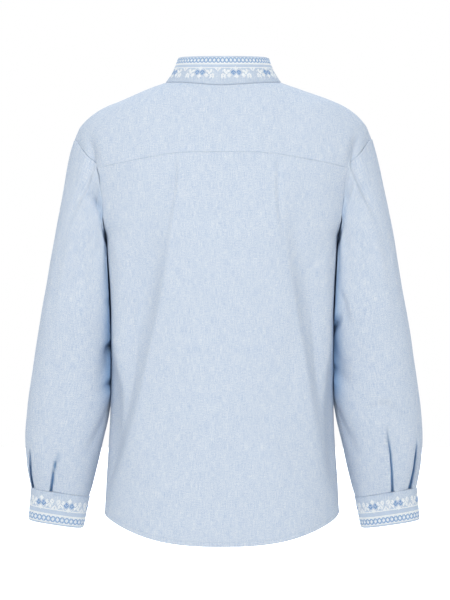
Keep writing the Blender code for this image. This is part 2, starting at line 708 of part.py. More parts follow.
def build_buttons():
    out = 2 * (CLOTH + LAY_GAP)
    top = placket_top(out) - BUTTON_FROM_END
    end = PLACKET_END_Z + BUTTON_FROM_END * 2
    for number, z in enumerate(np.linspace(top, end, PLACKET_BUTTONS), start=1):
        x = np.zeros(2)
        level = np.array([z, z - 0.004])
        upper, lower = placket_face(x, level, out)
        down = lower - upper
        outward = np.array([0, down[2], -down[1]])
        build_button(f"button_{number}", upper, outward / np.linalg.norm(outward))
    middle = -math.pi / 2 + 2 * math.pi
    share = np.array([0.42, 0.58])
    over = np.full(2, LAPPED_OUT)
    lower, upper = collar_point(np.full(2, middle), share, over)
    up = upper - lower
    outward = np.array([0, -up[2], up[1]])
    build_button("button_collar", (lower + upper) / 2, outward / np.linalg.norm(outward))


def clear_scene():
    for left in list(bpy.data.objects):
        bpy.data.objects.remove(left, do_unlink=True)


clear_scene()
GARMENT = bpy.data.collections.new("vyshyvanka_shirt")
bpy.context.scene.collection.children.link(GARMENT)


def body_wall(name, grid, **more):
    points = swayed(skin(grid[..., 0], grid[..., 1]))
    wall(name, drawn_in(points, SEAM_GAP / 2), CLOTH, CHAMBRAY, **more)


def main():
    body_wall("yoke", yoke_grid(), flip=True)
    body_wall("back", back_grid(), flip=True)
    front = front_grid()
    middle = front.shape[1] // 2
    body_wall("front", front, left_out=lambda i, j: i < SLIT_ROWS and middle - 1 <= j <= middle)
    for side, word in ((1, "left"), (-1, "right")):
        build_sleeve(side, word)
    build_collar()
    build_placket()
    build_buttons()


main()
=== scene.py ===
"""Looks of a worn vyshyvanka shirt in blue chambray, with cross-stitched collar and cuffs.

Metres, +Z up, the front towards -Y, +X to the wearer's left, as in the solid walls that it dresses.
"""

import functools
import math

import bmesh
import bpy
import numpy as np
from bpy.props import FloatProperty, FloatVectorProperty, PointerProperty
from bpy.types import Operator, Panel, PropertyGroup
from mathutils import Matrix, Vector


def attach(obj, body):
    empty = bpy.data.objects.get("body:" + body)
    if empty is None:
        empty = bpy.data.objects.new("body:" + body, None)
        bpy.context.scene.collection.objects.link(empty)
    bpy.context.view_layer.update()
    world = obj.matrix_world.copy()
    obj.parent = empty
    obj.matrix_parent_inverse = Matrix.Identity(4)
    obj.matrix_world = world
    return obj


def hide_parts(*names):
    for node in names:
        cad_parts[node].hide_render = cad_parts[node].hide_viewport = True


bl_info = {
    "name": "Vyshyvanka Shirt",
    "version": (1, 0, 0),
    "blender": (4, 5, 0),
    "location": "View3D > Sidebar > Shirt",
    "description": "Cloth, sewing, embroidery and buttons of a worn shirt, and the studio it hangs in",
    "category": "Object",
}

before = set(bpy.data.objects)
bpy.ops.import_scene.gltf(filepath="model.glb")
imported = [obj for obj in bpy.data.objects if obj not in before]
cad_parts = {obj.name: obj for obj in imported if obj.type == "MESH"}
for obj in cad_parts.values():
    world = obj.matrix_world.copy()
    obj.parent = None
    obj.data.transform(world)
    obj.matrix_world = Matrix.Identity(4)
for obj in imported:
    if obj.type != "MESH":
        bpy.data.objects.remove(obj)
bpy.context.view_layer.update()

MM = 0.001
FINE = 5  # how many strips of fine cloth lie on each strip of the solid walls

# --- sizes of the garment -------------------------------------------
# Thickness of the solid walls, and the gaps at seams and where one piece lies on another.
CLOTH = 1.2 * MM
BAND = 2.0 * MM
SEAM_GAP = 0.1 * MM
LAY_GAP = 0.35 * MM
SEAM_LIFT = 0.45 * MM
BODY_CLEARANCE = 0.9 * MM
LAPPED_OUT = BAND + 2 * LAY_GAP

# Level sections of the body are superellipses: lower is squarer.
ROUNDNESS = 0.8
POWER = 2 / ROUNDNESS

NECK_HALF_WIDTH = 0.0865
NECK_BACK = 0.068
NECK_FRONT = 0.072
COLLAR_TOP_HALF_WIDTH = 0.068
COLLAR_TOP_BACK = 0.058
COLLAR_TOP_FRONT = 0.062
COLLAR_TOP_Z_SIDE = 0.0355
COLLAR_TOP_Z_BACK = 0.0325
COLLAR_TOP_Z_FRONT = -0.024
COLLAR_HOLLOW = 0.0022
COLLAR_DIP = 1.6
COLLAR_LAP_RISE = 0.30
COLLAR_CLOSING = 0.030

ARMHOLE_TOP_Z = -0.088
ARMHOLE_BOTTOM_Z = -0.235
ARMHOLE_FRONT_Y = 0.068
ARMHOLE_FULLNESS_ABOVE = 0.50
ARMHOLE_FULLNESS_BELOW = 1.30

HEM_SIDE_Z = -0.645
HEM_BACK_Z = -0.6835
HEM_FRONT_Z = -0.672
HEM_BEND = 2.6

YOKE_SEAM_Z = -0.112
YOKE_FLAT_HALF = 0.070
YOKE_KINK = 0.012
SHOULDER_DEGREES = 42
YOKE_FRONT_Y = -0.039

# Sleeves: squarer than the body, pressed flat on it, and set a little forward where they are pressed.
SECTION_ROUNDNESS = 0.76
CAP_LENGTH = 0.095
PRESSED = 0.0075
PRESSED_ALONG = (0.012, 0.072, 0.240, 0.360)
SET_FORWARD = 0.013
RIGHT_SLEEVE_FULLER = 0.0055
FULLER_FROM = 0.1
CALM_AT_SEAM = 0.007  # distance from the armhole seam over which folds and ripples come in
GATHERED_ALONG = (0.45, 0.95)  # shares of the sleeve between which its strips gather to the pleats
CLOSER_AT_CUFF = 0.25  # how much closer the rows of cloth lie at the cuff
UNDERARM_ROWS_CLEAR = 4  # rows at each end of the underarm seam that are left unstitched
CUFF_PROUD = 0.8 * MM

# The girth that a sleeve and a cuff are taken to have where their weave is laid out.
SLEEVE_GIRTH = 0.37
CUFF_GIRTH = 0.245

# How far the back stands out at its corners beside the sleeves, from which share of its half width, and
# between which levels; then how far each sleeve does where it turns in to meet it.
CORNER = 0.0220
CORNER_FROM = 0.6
CORNER_ENDS = (1.0, 0.97)
CORNER_SHARPNESS = 1.6
CORNER_LEVELS = (-0.155, -0.235, -0.470, -0.600)
SLEEVE_CORNER = 0.014
SLEEVE_CORNER_REACH = 0.030
SLEEVE_CORNER_LEVELS = (-0.205, -0.265, -0.330, -0.400)

# Painted shade: how far the cloth's colour is mixed towards a deeper blue where it lies out of the light
# beside the sleeves and the body, and where that is.
PAINTED_SHADE_BODY = 0.35
PAINTED_SHADE_BODY_FROM = 0.965
PAINTED_SHADE_SLEEVE = 0.75
PAINTED_SHADE_SLEEVE_REACH = 0.012
PAINTED_SHADE_LEVELS = (-0.150, -0.240, -0.450, -0.500)

# The lean of the hanging shirt, and the lift of its right shoulder.
SWAY = 0.0020
SWAY_FULL_Z = -0.3
RIGHT_SHOULDER_LIFT = 0.0025
RIGHT_SHOULDER_X = (-0.09, -0.16)
RIGHT_SHOULDER_Z = (-0.16, -0.06)

SLIT_HALF = 0.012
PLACKET_HALF = 0.0160
PLACKET_END_Z = -0.280
SLIT_END_Z = PLACKET_END_Z + 0.010
COLLAR_FOOT_SLOPE = 0.7
BUTTON_RADIUS = 5.5 * MM
BUTTON_THICKNESS = 2.2 * MM
BUTTON_FROM_END = 0.024
BUTTON_REST = 4 * MM
COLLAR_BUTTON_SHARES = (0.42, 0.58)
PLACKET_BUTTONS = 3
BUTTONHOLE_HALF = 7.2 * MM
BUTTONHOLE_INNER = 0.25 * MM
BUTTONHOLE_OUTER = 1.5 * MM
BUTTONHOLE_BARS = 72

# Strips of the solid walls that the fine cloth is counted from.
ARMHOLE_STEPS = 32
YOKE_BACK_CORNER = 6
YOKE_FRONT_CORNER = 3
YOKE_ROWS = 8
BACK_HALF_COLUMNS = 12
NECK_FRONT_COLUMNS = 5
SIDE_ROWS = 15
SLEEVE_ROWS = 18
FRONT_FADE = 2.6


def smooth(t):
    """0 up to 0, 1 from 1, and level at both ends."""
    t = np.clip(t, 0, 1)
    return t * t * (3 - 2 * t)


def unit(vectors):
    """Vectors brought to a length of 1."""
    return vectors / np.linalg.norm(vectors, axis=-1, keepdims=True)


def rise(value, start, full):
    """0 as far as the start and 1 from where it is full, which may lie on either side of it."""
    return smooth((value - start) / (full - start))


def between(value, levels):
    """1 between the middle two of four levels, 0 outside the outer two, and smooth on the way."""
    first, full, fading, last = levels
    return rise(value, first, full) * rise(value, last, fading)


def rows_of(columns, rows):
    """The rows of a list, each read by its columns' names."""
    return tuple(dict(zip(columns.split(), row)) for row in rows)


class Table:
    """A short table of named columns, read smoothly along its first and never overshooting."""

    def __init__(self, columns, rows):
        values = np.array(sorted(rows), float)
        self.key = values[:, 0]
        self.value = {name: values[:, i] for i, name in enumerate(columns)}
        self.slope = {name: self.slopes(self.value[name]) for name in columns}

    def slopes(self, value):
        """The slope at each row, level where a column turns."""
        climb = np.diff(value) / np.diff(self.key)
        product = climb[:-1] * climb[1:]
        total = climb[:-1] + climb[1:]
        inner = np.where(product > 0, 2 * product / np.where(total == 0, 1, total), 0)
        return np.concatenate([[climb[0]], inner, [climb[-1]]])

    def at(self, key, name):
        key = np.clip(np.asarray(key, float), self.key[0], self.key[-1])
        i = np.clip(np.searchsorted(self.key, key) - 1, 0, len(self.key) - 2)
        step = self.key[i + 1] - self.key[i]
        t = (key - self.key[i]) / step
        value, slope = self.value[name], self.slope[name]
        return (
            value[i] * (1 + 2 * t) * (1 - t) ** 2
            + slope[i] * step * t * (1 - t) ** 2
            + value[i + 1] * t * t * (3 - 2 * t)
            + slope[i + 1] * step * t * t * (t - 1)
        )


# Level sections of the body: half width, and depth behind and in front of the shoulder line.
BODY = Table(
    ("z", "half_width", "back", "front"),
    (
        (0.006, 0.066, 0.012, 0.004),
        (0.000, 0.083, 0.034, 0.012),
        (-0.005, 0.095, 0.053, 0.020),
        (-0.010, 0.107, 0.067, 0.027),
        (-0.020, 0.132, 0.075, 0.040),
        (-0.030, 0.156, 0.080, 0.050),
        (-0.040, 0.179, 0.085, 0.059),
        (-0.050, 0.195, 0.089, 0.067),
        (-0.060, 0.2065, 0.092, 0.074),
        (-0.073, 0.2165, 0.096, 0.082),
        (-0.088, 0.2222, 0.100, 0.089),
        (-0.112, 0.2200, 0.105, 0.099),
        (-0.150, 0.209, 0.111, 0.111),
        (-0.200, 0.189, 0.115, 0.121),
        (-0.235, 0.173, 0.117, 0.124),
        (-0.270, 0.1712, 0.117, 0.124),
        (-0.310, 0.1688, 0.117, 0.122),
        (-0.350, 0.1670, 0.116, 0.120),
        (-0.400, 0.1660, 0.116, 0.118),
        (-0.500, 0.1675, 0.117, 0.115),
        (-0.540, 0.1692, 0.118, 0.115),
        (-0.600, 0.1730, 0.120, 0.116),
        (-0.700, 0.1785, 0.124, 0.119),
    ),
)

# How far back the armhole seam lies at steps from the shoulder to the underarm.
ARMHOLE_BACK = Table(
    ("step", "y"),
    (
        (0, 0.0),
        (1, 0.0240),
        (2, 0.0355),
        (3, 0.0435),
        (4, 0.0520),
        (5, 0.0610),
        (6, 0.0678),
        (7, 0.0688),
        (8, 0.0670),
        (10, 0.0598),
        (12, 0.0450),
        (14, 0.0215),
        (16, 0.0),
    ),
)

# The sleeve's sections, by the distance down its middle line.
SLEEVE = Table(
    ("along", "outer_x", "outer_z", "inner_x", "inner_z", "middle_y", "half_depth"),
    (
        (0.000, 0.2222, -0.0880, 0.1732, -0.2350, 0.002, 0.070),
        (0.016, 0.2290, -0.1110, 0.1735, -0.2420, 0.002, 0.071),
        (0.044, 0.2362, -0.1500, 0.1722, -0.2560, 0.002, 0.070),
        (0.080, 0.2450, -0.2000, 0.1705, -0.2800, 0.001, 0.068),
        (0.115, 0.2530, -0.2460, 0.1695, -0.3060, 0.000, 0.066),
        (0.160, 0.2622, -0.3000, 0.1682, -0.3410, -0.001, 0.063),
        (0.214, 0.2740, -0.3635, 0.1670, -0.3870, -0.005, 0.060),
        (0.281, 0.2855, -0.4355, 0.1675, -0.4495, -0.011, 0.057),
        (0.334, 0.2930, -0.4900, 0.1714, -0.5000, -0.016, 0.055),
        (0.378, 0.2963, -0.5355, 0.1812, -0.5440, -0.020, 0.053),
        (0.415, 0.2942, -0.5720, 0.1892, -0.5800, -0.022, 0.048),
        (0.440, 0.2905, -0.5960, 0.1955, -0.6055, -0.024, 0.041),
        (0.455, 0.2877, -0.6095, 0.2008, -0.6230, -0.025, 0.034),
    ),
)
SLEEVE_LENGTH = SLEEVE.key[-1]
CUFF_END = {"outer_x": 0.2920, "outer_z": -0.6575, "inner_x": 0.2105, "inner_z": -0.6700}
CUFF_END_MIDDLE_Y = -0.027
CUFF_END_HALF_DEPTH = 0.032

# Knife pleats above the cuffs: the strip of cloth that runs down each, its place round the sleeve in
# degrees (0 outer edge, 90 back, 270 front), its lean up the sleeve in degrees, its depth at the cuff, its
# height, and half the width that it gapes.
PLEAT = "column degrees lean depth height gape"
PLEATS = {
    1: rows_of(
        PLEAT,
        (
            (3, 27, 12, 0.0140, 0.072, 0.0038),
            (7, 79, 11, 0.0090, 0.072, 0.0013),
            (25, 279, -7, 0.0085, 0.072, 0.0015),
            (29, 327, -9, 0.0120, 0.070, 0.0036),
        ),
    ),
    -1: rows_of(
        PLEAT,
        (
            (3, 46, -6, 0.0120, 0.086, 0.0030),
            (7, 84, 4, 0.0095, 0.108, 0.0010),
            (25, 281, -5, 0.0085, 0.080, 0.0015),
            (29, 324, 6, 0.0120, 0.076, 0.0034),
        ),
    ),
}
PLEAT_HALF_DEGREES = 4.0

# Soft folds of the body, on the back (side 1) or the front (side -1): where each line starts and ends (x
# and z), how it bends between them, how steeply the cloth falls beside it on the side away from the
# middle, how far it goes on falling, how much softer the fold's edge is below, and the share of its height
# over which it comes in.
BODY_FOLDS = rows_of(
    "side top end bend steepness far softer onset",
    (
        (1, (0.067, -0.120), (0.169, -0.600), 1.55, 0.88, 0.020, 0.006, 0.42),
        (1, (-0.079, -0.120), (-0.163, -0.600), 1.18, 0.76, 0.017, 0.004, 0.48),
        (-1, (0.085, -0.235), (0.118, -0.640), 1.7, 0.42, 0.017, 0.004, 0.28),
        (-1, (-0.080, -0.235), (-0.126, -0.640), 1.7, 0.45, 0.017, 0.004, 0.28),
    ),
)

# Soft folds of the sleeves: degrees round the sleeve and distance down it at both ends, depth, and half
# the width in degrees.
SLEEVE_FOLDS = rows_of(
    "from to depth half_width",
    (
        ((112, 0.030), (70, 0.190), 0.0050, 15),
        ((168, 0.190), (120, 0.300), 0.0045, 14),
        ((175, 0.300), (128, 0.400), 0.0045, 14),
        ((248, 0.040), (290, 0.200), 0.0050, 15),
        ((200, 0.215), (240, 0.320), 0.0045, 14),
    ),
)

# Creases in the body's cloth, each along a line of (x, z) in millimetres on the back (side 1) or the
# front. A trough has a positive depth, and its right-hand side is narrower where it is steep. The lip is a
# ridge beside it, on the left of its line's direction when positive. The two fades are the shares of its
# length over which its ends die out.
BODY_CREASES = rows_of(
    "side width steep depth lip fades line",
    (
        # edges of the raised middle panel of the back, below the kinks of the yoke seam
        (1, 4.2, 0.5, 3.0, -0.45, (0.12, 0.6),
         ((69, -113), (69, -150), (72, -175), (75, -196), (81, -235), (88, -275))),
        (1, 4.2, 0.5, 2.7, -0.45, (0.6, 0.2), ((-93, -262), (-84, -210), (-80, -175), (-79, -113))),
        # folds of the yoke beside the armholes
        (1, 9.0, 0.5, 6.5, 0.2, (0.1, 0.6), ((190, -133), (196, -104), (200, -78))),
        (1, 8.0, 0.5, 5.5, 0.2, (0.6, 0.1), ((-200, -76), (-196, -104), (-190, -131))),
        # soft drags from the underarms
        (1, 9, 1, 1.4, 0.3, (0.2, 0.8), ((160, -215), (138, -262), (128, -330))),
        (1, 8, 1, 1.2, -0.3, (0.2, 0.8), ((-158, -225), (-140, -275), (-134, -335))),
        # the front: drags across the chest to the underarms, from the neck, and down to the hem
        (-1, 8, 1, 2.0, 0.4, (0.1, 0.7), ((150, -190), (118, -215), (92, -262))),
        (-1, 8, 1, 1.8, -0.4, (0.1, 0.7), ((-152, -186), (-122, -222), (-98, -276))),
        (-1, 7, 1, 1.3, -0.4, (0.4, 0.6), ((62, -105), (70, -160), (76, -230))),
        (-1, 7, 1, 1.4, 0.4, (0.4, 0.6), ((-58, -100), (-69, -165), (-73, -225))),
        (-1, 12, 1, 1.8, 0.4, (0.4, 0.6), ((10, -310), (17, -420), (30, -560))),
        (-1, 11, 1, 1.5, -0.4, (0.4, 0.6), ((-22, -350), (-34, -480), (-40, -620))),
    ),
)

# Creases in the left sleeve (1), the right one (-1) or both (0), each along a line of (degrees round,
# millimetres down the sleeve).
SLEEVE_CREASES = rows_of(
    "sleeve width depth lip fades line",
    (
        # both sleeves: a tuck under the armhole seam, drags from it and a long soft trough
        (0, 6, 4.5, 0.0, (0.5, 0.3), ((88, 9), (120, 11), (165, 16))),
        (0, 6, 2.6, -0.4, (0.15, 0.7), ((128, 14), (104, 60), (98, 120))),
        (0, 7, 2.8, -0.4, (0.15, 0.7), ((150, 18), (138, 70), (140, 140))),
        (0, 12, 1.6, 0.3, (0.4, 0.6), ((60, 40), (52, 160), (58, 270))),
        (0, 6, 4.0, 0.0, (0.5, 0.3), ((272, 12), (240, 14), (200, 18))),
        (0, 7, 2.6, 0.4, (0.15, 0.7), ((236, 16), (256, 80), (262, 150))),
        # folds that the armholes throw
        (1, 8.5, 13.0, 0.12, (0.45, 0.2), ((50, 34), (66, 26), (86, 17), (118, 9))),
        (-1, 6.5, 12.0, 0.15, (0.4, 0.4), ((54, 9), (70, 8), (88, 8), (112, 9))),
        # wrinkles inside the elbow, uneven on the two sleeves
        (1, 7, 3.2, 0.3, (0.2, 0.5), ((190, 56), (152, 60), (118, 56))),
        (1, 9, 7.5, 0.4, (0.15, 0.6), ((190, 216), (158, 226), (112, 240))),
        (1, 7.5, 6.0, -0.4, (0.15, 0.6), ((190, 280), (152, 286), (108, 306))),
        (1, 8, 3.0, 0.3, (0.2, 0.6), ((190, 142), (156, 148), (120, 156))),
        (-1, 6, 4.0, 0.3, (0.2, 0.5), ((190, 48), (168, 51), (140, 58))),
        (-1, 10, 7.0, 0.4, (0.15, 0.5), ((192, 206), (166, 202), (140, 184), (120, 156))),
        (-1, 7, 3.2, 0.35, (0.4, 0.4), ((140, 126), (124, 160), (112, 206))),
        (-1, 8, 7.0, -0.4, (0.15, 0.5), ((192, 250), (170, 254), (146, 268), (118, 284))),
        # a small buckle over a pleat
        (-1, 3.6, 2.8, -0.7, (0.35, 0.35), ((76, 338), (80, 325), (88, 320), (97, 331))),
        # the front of both sleeves: wrinkles inside the elbow, and a long soft trough
        (0, 7, 3.0, -0.4, (0.3, 0.6), ((206, 206), (232, 214), (262, 238))),
        (0, 6, 2.6, 0.4, (0.3, 0.6), ((204, 250), (232, 252), (254, 268))),
        (0, 12, 1.7, 0.3, (0.4, 0.6), ((300, 60), (310, 190), (300, 300))),
    ),
)

# --- the cross-stitch, charted one letter to a stitch ---------------
# o white, d deep blue, b mid blue, l pale blue, s a pair of level blue stitches, . bare cloth
FLOWER = (
    "......oo...",
    "..oo..ooo..",
    ".oooo.oo.o.",
    "..oooooo...",
    "....ooo....",
    ".oo.oo..oo.",
    "oooo..ooooo",
    "ooooo.oo.oo",
    ".ooo..ooooo",
    "..o...oo.oo",
    "......o..o.",
)
SMALL_FLOWER = (
    ".....oo..",
    ".oo.ooo..",
    ".ooo.oo..",
    "...ooo.o.",
    ".oo.o.oo.",
    "oooo.oooo",
    "ooo..oo.o",
    ".oo..oooo",
    "......oo.",
)
ROSEBUD = ("..d..", ".ddd.", "ddldd", "dldld", ".ddd.", "..d..")
SEED = ("..o..", ".ooo.", "ooooo", ".ooo.", "..o..")
CROWN = ("...o...", "..ooo..", ".ooooo.", "o.ooo.o", "...o...")
STEM = ("o..", ".o.", "..o")
DAG = ("ooo.ooo", "ooo.ooo", ".oo.oo.", "..ooo..", "...o...")
LINK = ("obbbo", "bbobb", "booob", "booob", "bbobb", "obbbo")
LINKS_APART = 5

# --- how the cloth is finished at its edges: distance in, and lift there, in millimetres ---
SEAM_EDGE = {"in": (0, 0.5, 1.2, 2.4), "lift": (-0.75, -0.25, 0.0, 0.0), "pucker": 0.18}
FREE_EDGE = {"in": (0, 0.6, 1.6), "lift": (-0.35, -0.08, 0.0), "pucker": 0.0}
HEM_EDGE = {
    "in": (0, 0.6, 1.6, 3.2, 4.6, 5.4, 6.2, 7.6),
    "lift": (-0.2, 0.12, 0.28, 0.28, 0.05, -0.35, 0.0, 0.0),
    "pucker": 0.22,
}
LEAST_ROW = 0.6
PUCKER_LENGTH = 8.5 * MM
PUCKER_UNEVEN, PUCKER_DRIFT = 2.1, 21 * MM
PUCKER_REACH = 5 * MM
PUCKER_FROM_EDGE = 2 * MM


# --- the form that the body pieces lie on ---------------------------
def body_depth(y, z):
    """How deep the form is on the side of the body that y lies on."""
    return np.where(y >= 0, BODY.at(z, "back"), BODY.at(z, "front"))


def form(turn, z):
    """A point of the form: turn is 0 at the wearer's left side and a quarter turn at the back."""
    c, s = np.cos(turn), np.sin(turn)
    x = BODY.at(z, "half_width") * np.sign(c) * np.abs(c) ** ROUNDNESS
    y = body_depth(s, z) * np.sign(s) * np.abs(s) ** ROUNDNESS
    return np.stack([x, y, z + 0 * x], axis=-1)


def turn_of(x, y, z):
    """The turn at which the form's level z lies in the direction of (x, y)."""
    along = np.sign(x) * (np.abs(x) / BODY.at(z, "half_width")) ** (1 / ROUNDNESS)
    across = np.sign(y) * (np.abs(y) / body_depth(y, z)) ** (1 / ROUNDNESS)
    return np.arctan2(across, along)


ROOF_HALVINGS = 50


def roof_z(x, y):
    """The height of the shoulders over a place in plan."""
    low = np.full(np.shape(x), ARMHOLE_TOP_Z)
    high = np.full(np.shape(x), BODY.key[-1])
    for _ in range(ROOF_HALVINGS):
        z = (low + high) / 2
        across, deep = np.abs(x / BODY.at(z, "half_width")), np.abs(y / body_depth(y, z))
        inside = across**POWER + deep**POWER < 1
        low, high = np.where(inside, z, low), np.where(inside, high, z)
    return (low + high) / 2


def half_width_at(y, z):
    """How far the form reaches to each side at a depth and height."""
    inside = 1 - np.minimum(np.abs(y / body_depth(y, z)), 1) ** POWER
    return BODY.at(z, "half_width") * inside ** (1 / POWER)


def form_normal(turn, z):
    """The form's outward direction at a turn and height."""
    turn_step, z_step = 1e-4, 1e-5
    around = form(turn + turn_step, z) - form(turn - turn_step, z)
    down = form(turn, z - z_step) - form(turn, z + z_step)
    return unit(np.cross(down, around))


# The shape of every soft fold. The cloth falls over a short distance at its edge and a longer one beside
# it, each growing down the fold, and comes back before the side; it all dies out at the side seams and
# above the hem. Shares are of the fold's length, or of the room that it has up to the side.
FOLD_PAST_END = 1.3
FOLD_NEAR, FOLD_NEAR_BELOW, FOLD_NEAR_FULL = 0.003, 0.002, 0.5
FOLD_FAR, FOLD_FAR_FULL, FOLD_FAR_SHARE = 0.005, 0.6, 0.6
FOLD_BACK_FROM, FOLD_BACK_SHARE, FOLD_STAYS_DOWN = 1.3, 0.5, 0.8
FOLD_LEAST_ROOM = 0.03
FOLD_SIDE_FADE = 0.04
FOLD_LOW = (0.55, 0.80)
FOLD_WEAKENS, FOLD_WEAKER = (0.6, 0.9), 0.3
HEM_CALMS, HEM_CALM = (-0.560, -0.640), 0.9


def body_fold(point):
    """How far the soft folds move the cloth out at points of the form."""
    x, y, z = point[..., 0], point[..., 1], point[..., 2]
    moved = np.zeros(np.shape(x))
    for fold in BODY_FOLDS:
        (top_x, top_z), (end_x, end_z) = fold["top"], fold["end"]
        t = np.clip((top_z - z) / (top_z - end_z), 0, FOLD_PAST_END)
        low = rise(t, *FOLD_LOW)
        off = np.sign(top_x) * (x - (top_x + (end_x - top_x) * t ** fold["bend"]))
        near = FOLD_NEAR + FOLD_NEAR_BELOW * rise(t, 0, FOLD_NEAR_FULL) + fold["softer"] * low
        room = np.maximum(BODY.at(z, "half_width") - np.abs(x) + off, FOLD_LEAST_ROOM)
        far = np.minimum(FOLD_FAR + fold["far"] * rise(t, 0, FOLD_FAR_FULL), FOLD_FAR_SHARE * room)
        fall = np.where(off < 0, near * (1 + np.tanh(off / near)), near + far * np.tanh(off / far))
        start = np.minimum(FOLD_BACK_FROM * far, FOLD_BACK_SHARE * room)
        kept = 1 - rise(off, start, room) * (1 - FOLD_STAYS_DOWN * low)
        here = rise(t, 0, fold["onset"]) * rise(np.abs(y), 0, FOLD_SIDE_FADE) * (np.sign(y) == fold["side"])
        here = here * (1 - FOLD_WEAKER * rise(t, *FOLD_WEAKENS)) * (1 - HEM_CALM * rise(z, *HEM_CALMS))
        moved -= fold["steepness"] * here * fall * kept
    return moved


def near_corner(share):
    """Rises steeply to 1 at a corner, from a share of the way to it."""
    return np.clip(share, 0, 1) ** CORNER_SHARPNESS


def corner_fullness(x, y, z):
    """How far the cloth of the back stands out where it turns to the sides, behind the sleeves."""
    share = np.abs(x) / BODY.at(z, "half_width")
    here = near_corner((share - CORNER_FROM) / (1 - CORNER_FROM)) * rise(share, *CORNER_ENDS) * (y > 0)
    return CORNER * here * between(z, CORNER_LEVELS)


def from_line(a, b, points):
    """Signed distance of places in a flat chart from a bent line, and how far along it they lie."""
    best = np.full(np.shape(a), np.inf)
    off, share = np.zeros(np.shape(a)), np.zeros(np.shape(a))
    for part, ((a0, b0), (a1, b1)) in enumerate(zip(points, points[1:])):
        da, db = a1 - a0, b1 - b0
        length = math.hypot(da, db)
        t = np.clip(((a - a0) * da + (b - b0) * db) / length**2, 0, 1)
        ra, rb = a - (a0 + da * t), b - (b0 + db * t)
        apart = np.hypot(ra, rb)
        nearer = apart < best
        best = np.where(nearer, apart, best)
        off = np.where(nearer, apart * np.sign(da * rb - db * ra), off)
        share = np.where(nearer, (part + t) / (len(points) - 1), share)
    return off, share


LIP_OFF, LIP_WIDTH = 1.7, 1.1  # in widths of the crease
CREASE_SIDE_FADE = 0.03


def crease(a, b, row, points):
    """How far one crease lifts the cloth at places of a chart in millimetres."""
    off, share = from_line(a, b, points)
    q = off / (row["width"] * np.where(off < 0, row.get("steep", 1), 1))
    side = math.copysign(1, row["lip"])
    shape = abs(row["lip"]) * np.exp(-(((q * side) - LIP_OFF) / LIP_WIDTH) ** 2) - np.exp(-(q**2))
    start, end = row["fades"]
    return row["depth"] * MM * shape * rise(share, 0, start) * rise(share, 1, 1 - end)


def body_creases(point):
    """How far all creases of the body move its cloth at points of the form."""
    x, y, z = point[..., 0] / MM, point[..., 1], point[..., 2] / MM
    moved = np.zeros(np.shape(x))
    for row in BODY_CREASES:
        moved += rise(row["side"] * y, 0, CREASE_SIDE_FADE) * crease(x, z, row, row["line"])
    return moved


WAVES = 22
WAVES_SEED = 11
WAVE_LENGTHS = (0.035, 0.120)
WAVE_DOWNWARDS = 0.35
WAVE_STEEPNESS = 0.11 * MM / 0.075


@functools.lru_cache(maxsize=None)
def waves():
    """Directions, starts and heights of the slight waves in worn cloth, longer downwards than across."""
    chance = np.random.default_rng(WAVES_SEED)
    length = chance.uniform(*WAVE_LENGTHS, WAVES)
    heading = unit(chance.normal(size=(WAVES, 3)) * (1, 1, WAVE_DOWNWARDS))
    start = chance.uniform(0, 2 * math.pi, WAVES)
    return heading * 2 * math.pi / length[:, None], start, WAVE_STEEPNESS * length


def ripple(point):
    """How far the cloth's slight unevenness lifts it."""
    heading, start, height = waves()
    return (np.sin(point @ heading.T + start) * height).sum(axis=-1)


def swayed(point):
    """Points with the lean of the hanging cloth added, and the right shoulder a little higher."""
    x, z = point[..., 0], point[..., 2]
    lean = SWAY * rise(z, 0, SWAY_FULL_Z)
    lift = RIGHT_SHOULDER_LIFT * rise(x, *RIGHT_SHOULDER_X) * rise(z, *RIGHT_SHOULDER_Z)
    return point + np.stack([lean, 0 * x, lift], axis=-1)


def skin(turn, z, out=0.0):
    """The outer face of the body, with its folds and creases, moved out by a distance."""
    point, normal = form(turn, z), form_normal(turn, z)
    moved = body_fold(point) + body_creases(point) + ripple(point) + out
    fuller = corner_fullness(*np.moveaxis(point, -1, 0))
    point = point + normal * moved[..., None]
    point[..., 1] += fuller
    return point


# --- seams, as turn and height on the form --------------------------
def on_form(x, y, z):
    """Places in space as turn and height on the form."""
    return np.stack([turn_of(x, y, z), z], axis=-1)


def strips(first, last):
    """Evenly spaced places from one strip of the walls to another, finely divided."""
    return np.linspace(first, last, int(abs(last - first)) * FINE + 1)


def straight(a, b, count):
    """Finely divided places on a straight line across a number of strips."""
    return np.linspace(np.asarray(a, float), np.asarray(b, float), count * FINE + 1)


def armhole(step):
    """The left armhole at a step round it: 0 at the shoulder, on to the back, the underarm, the front."""
    step = np.asarray(step, float)
    around = 2 * math.pi * step / ARMHOLE_STEPS
    middle = (ARMHOLE_TOP_Z + ARMHOLE_BOTTOM_Z) / 2
    z = middle + (ARMHOLE_TOP_Z - middle) * np.cos(around)
    s = np.sin(around)
    fullness = np.where(z > middle, ARMHOLE_FULLNESS_ABOVE, ARMHOLE_FULLNESS_BELOW)
    front = -ARMHOLE_FRONT_Y * np.abs(s) ** fullness
    y = np.where(s > 0, ARMHOLE_BACK.at(step % ARMHOLE_STEPS, "y"), front)
    return on_form(half_width_at(y, z), y, z)


def neck(angle):
    """The neck seam at a plan angle: 0 on the left shoulder, a quarter turn at the back."""
    x = NECK_HALF_WIDTH * np.cos(angle)
    y = np.where(np.sin(angle) > 0, NECK_BACK, NECK_FRONT) * np.sin(angle)
    return on_form(x, y, roof_z(x, y))


def yoke_seam(x, corner_x, corner_z):
    """Height of the back yoke seam: level in the middle, then falling to the armhole."""
    fall = np.logaddexp(0, (np.abs(x) - YOKE_FLAT_HALF) / YOKE_KINK)
    end = np.logaddexp(0, (corner_x - YOKE_FLAT_HALF) / YOKE_KINK)
    return YOKE_SEAM_Z + (corner_z - YOKE_SEAM_Z) * fall / end


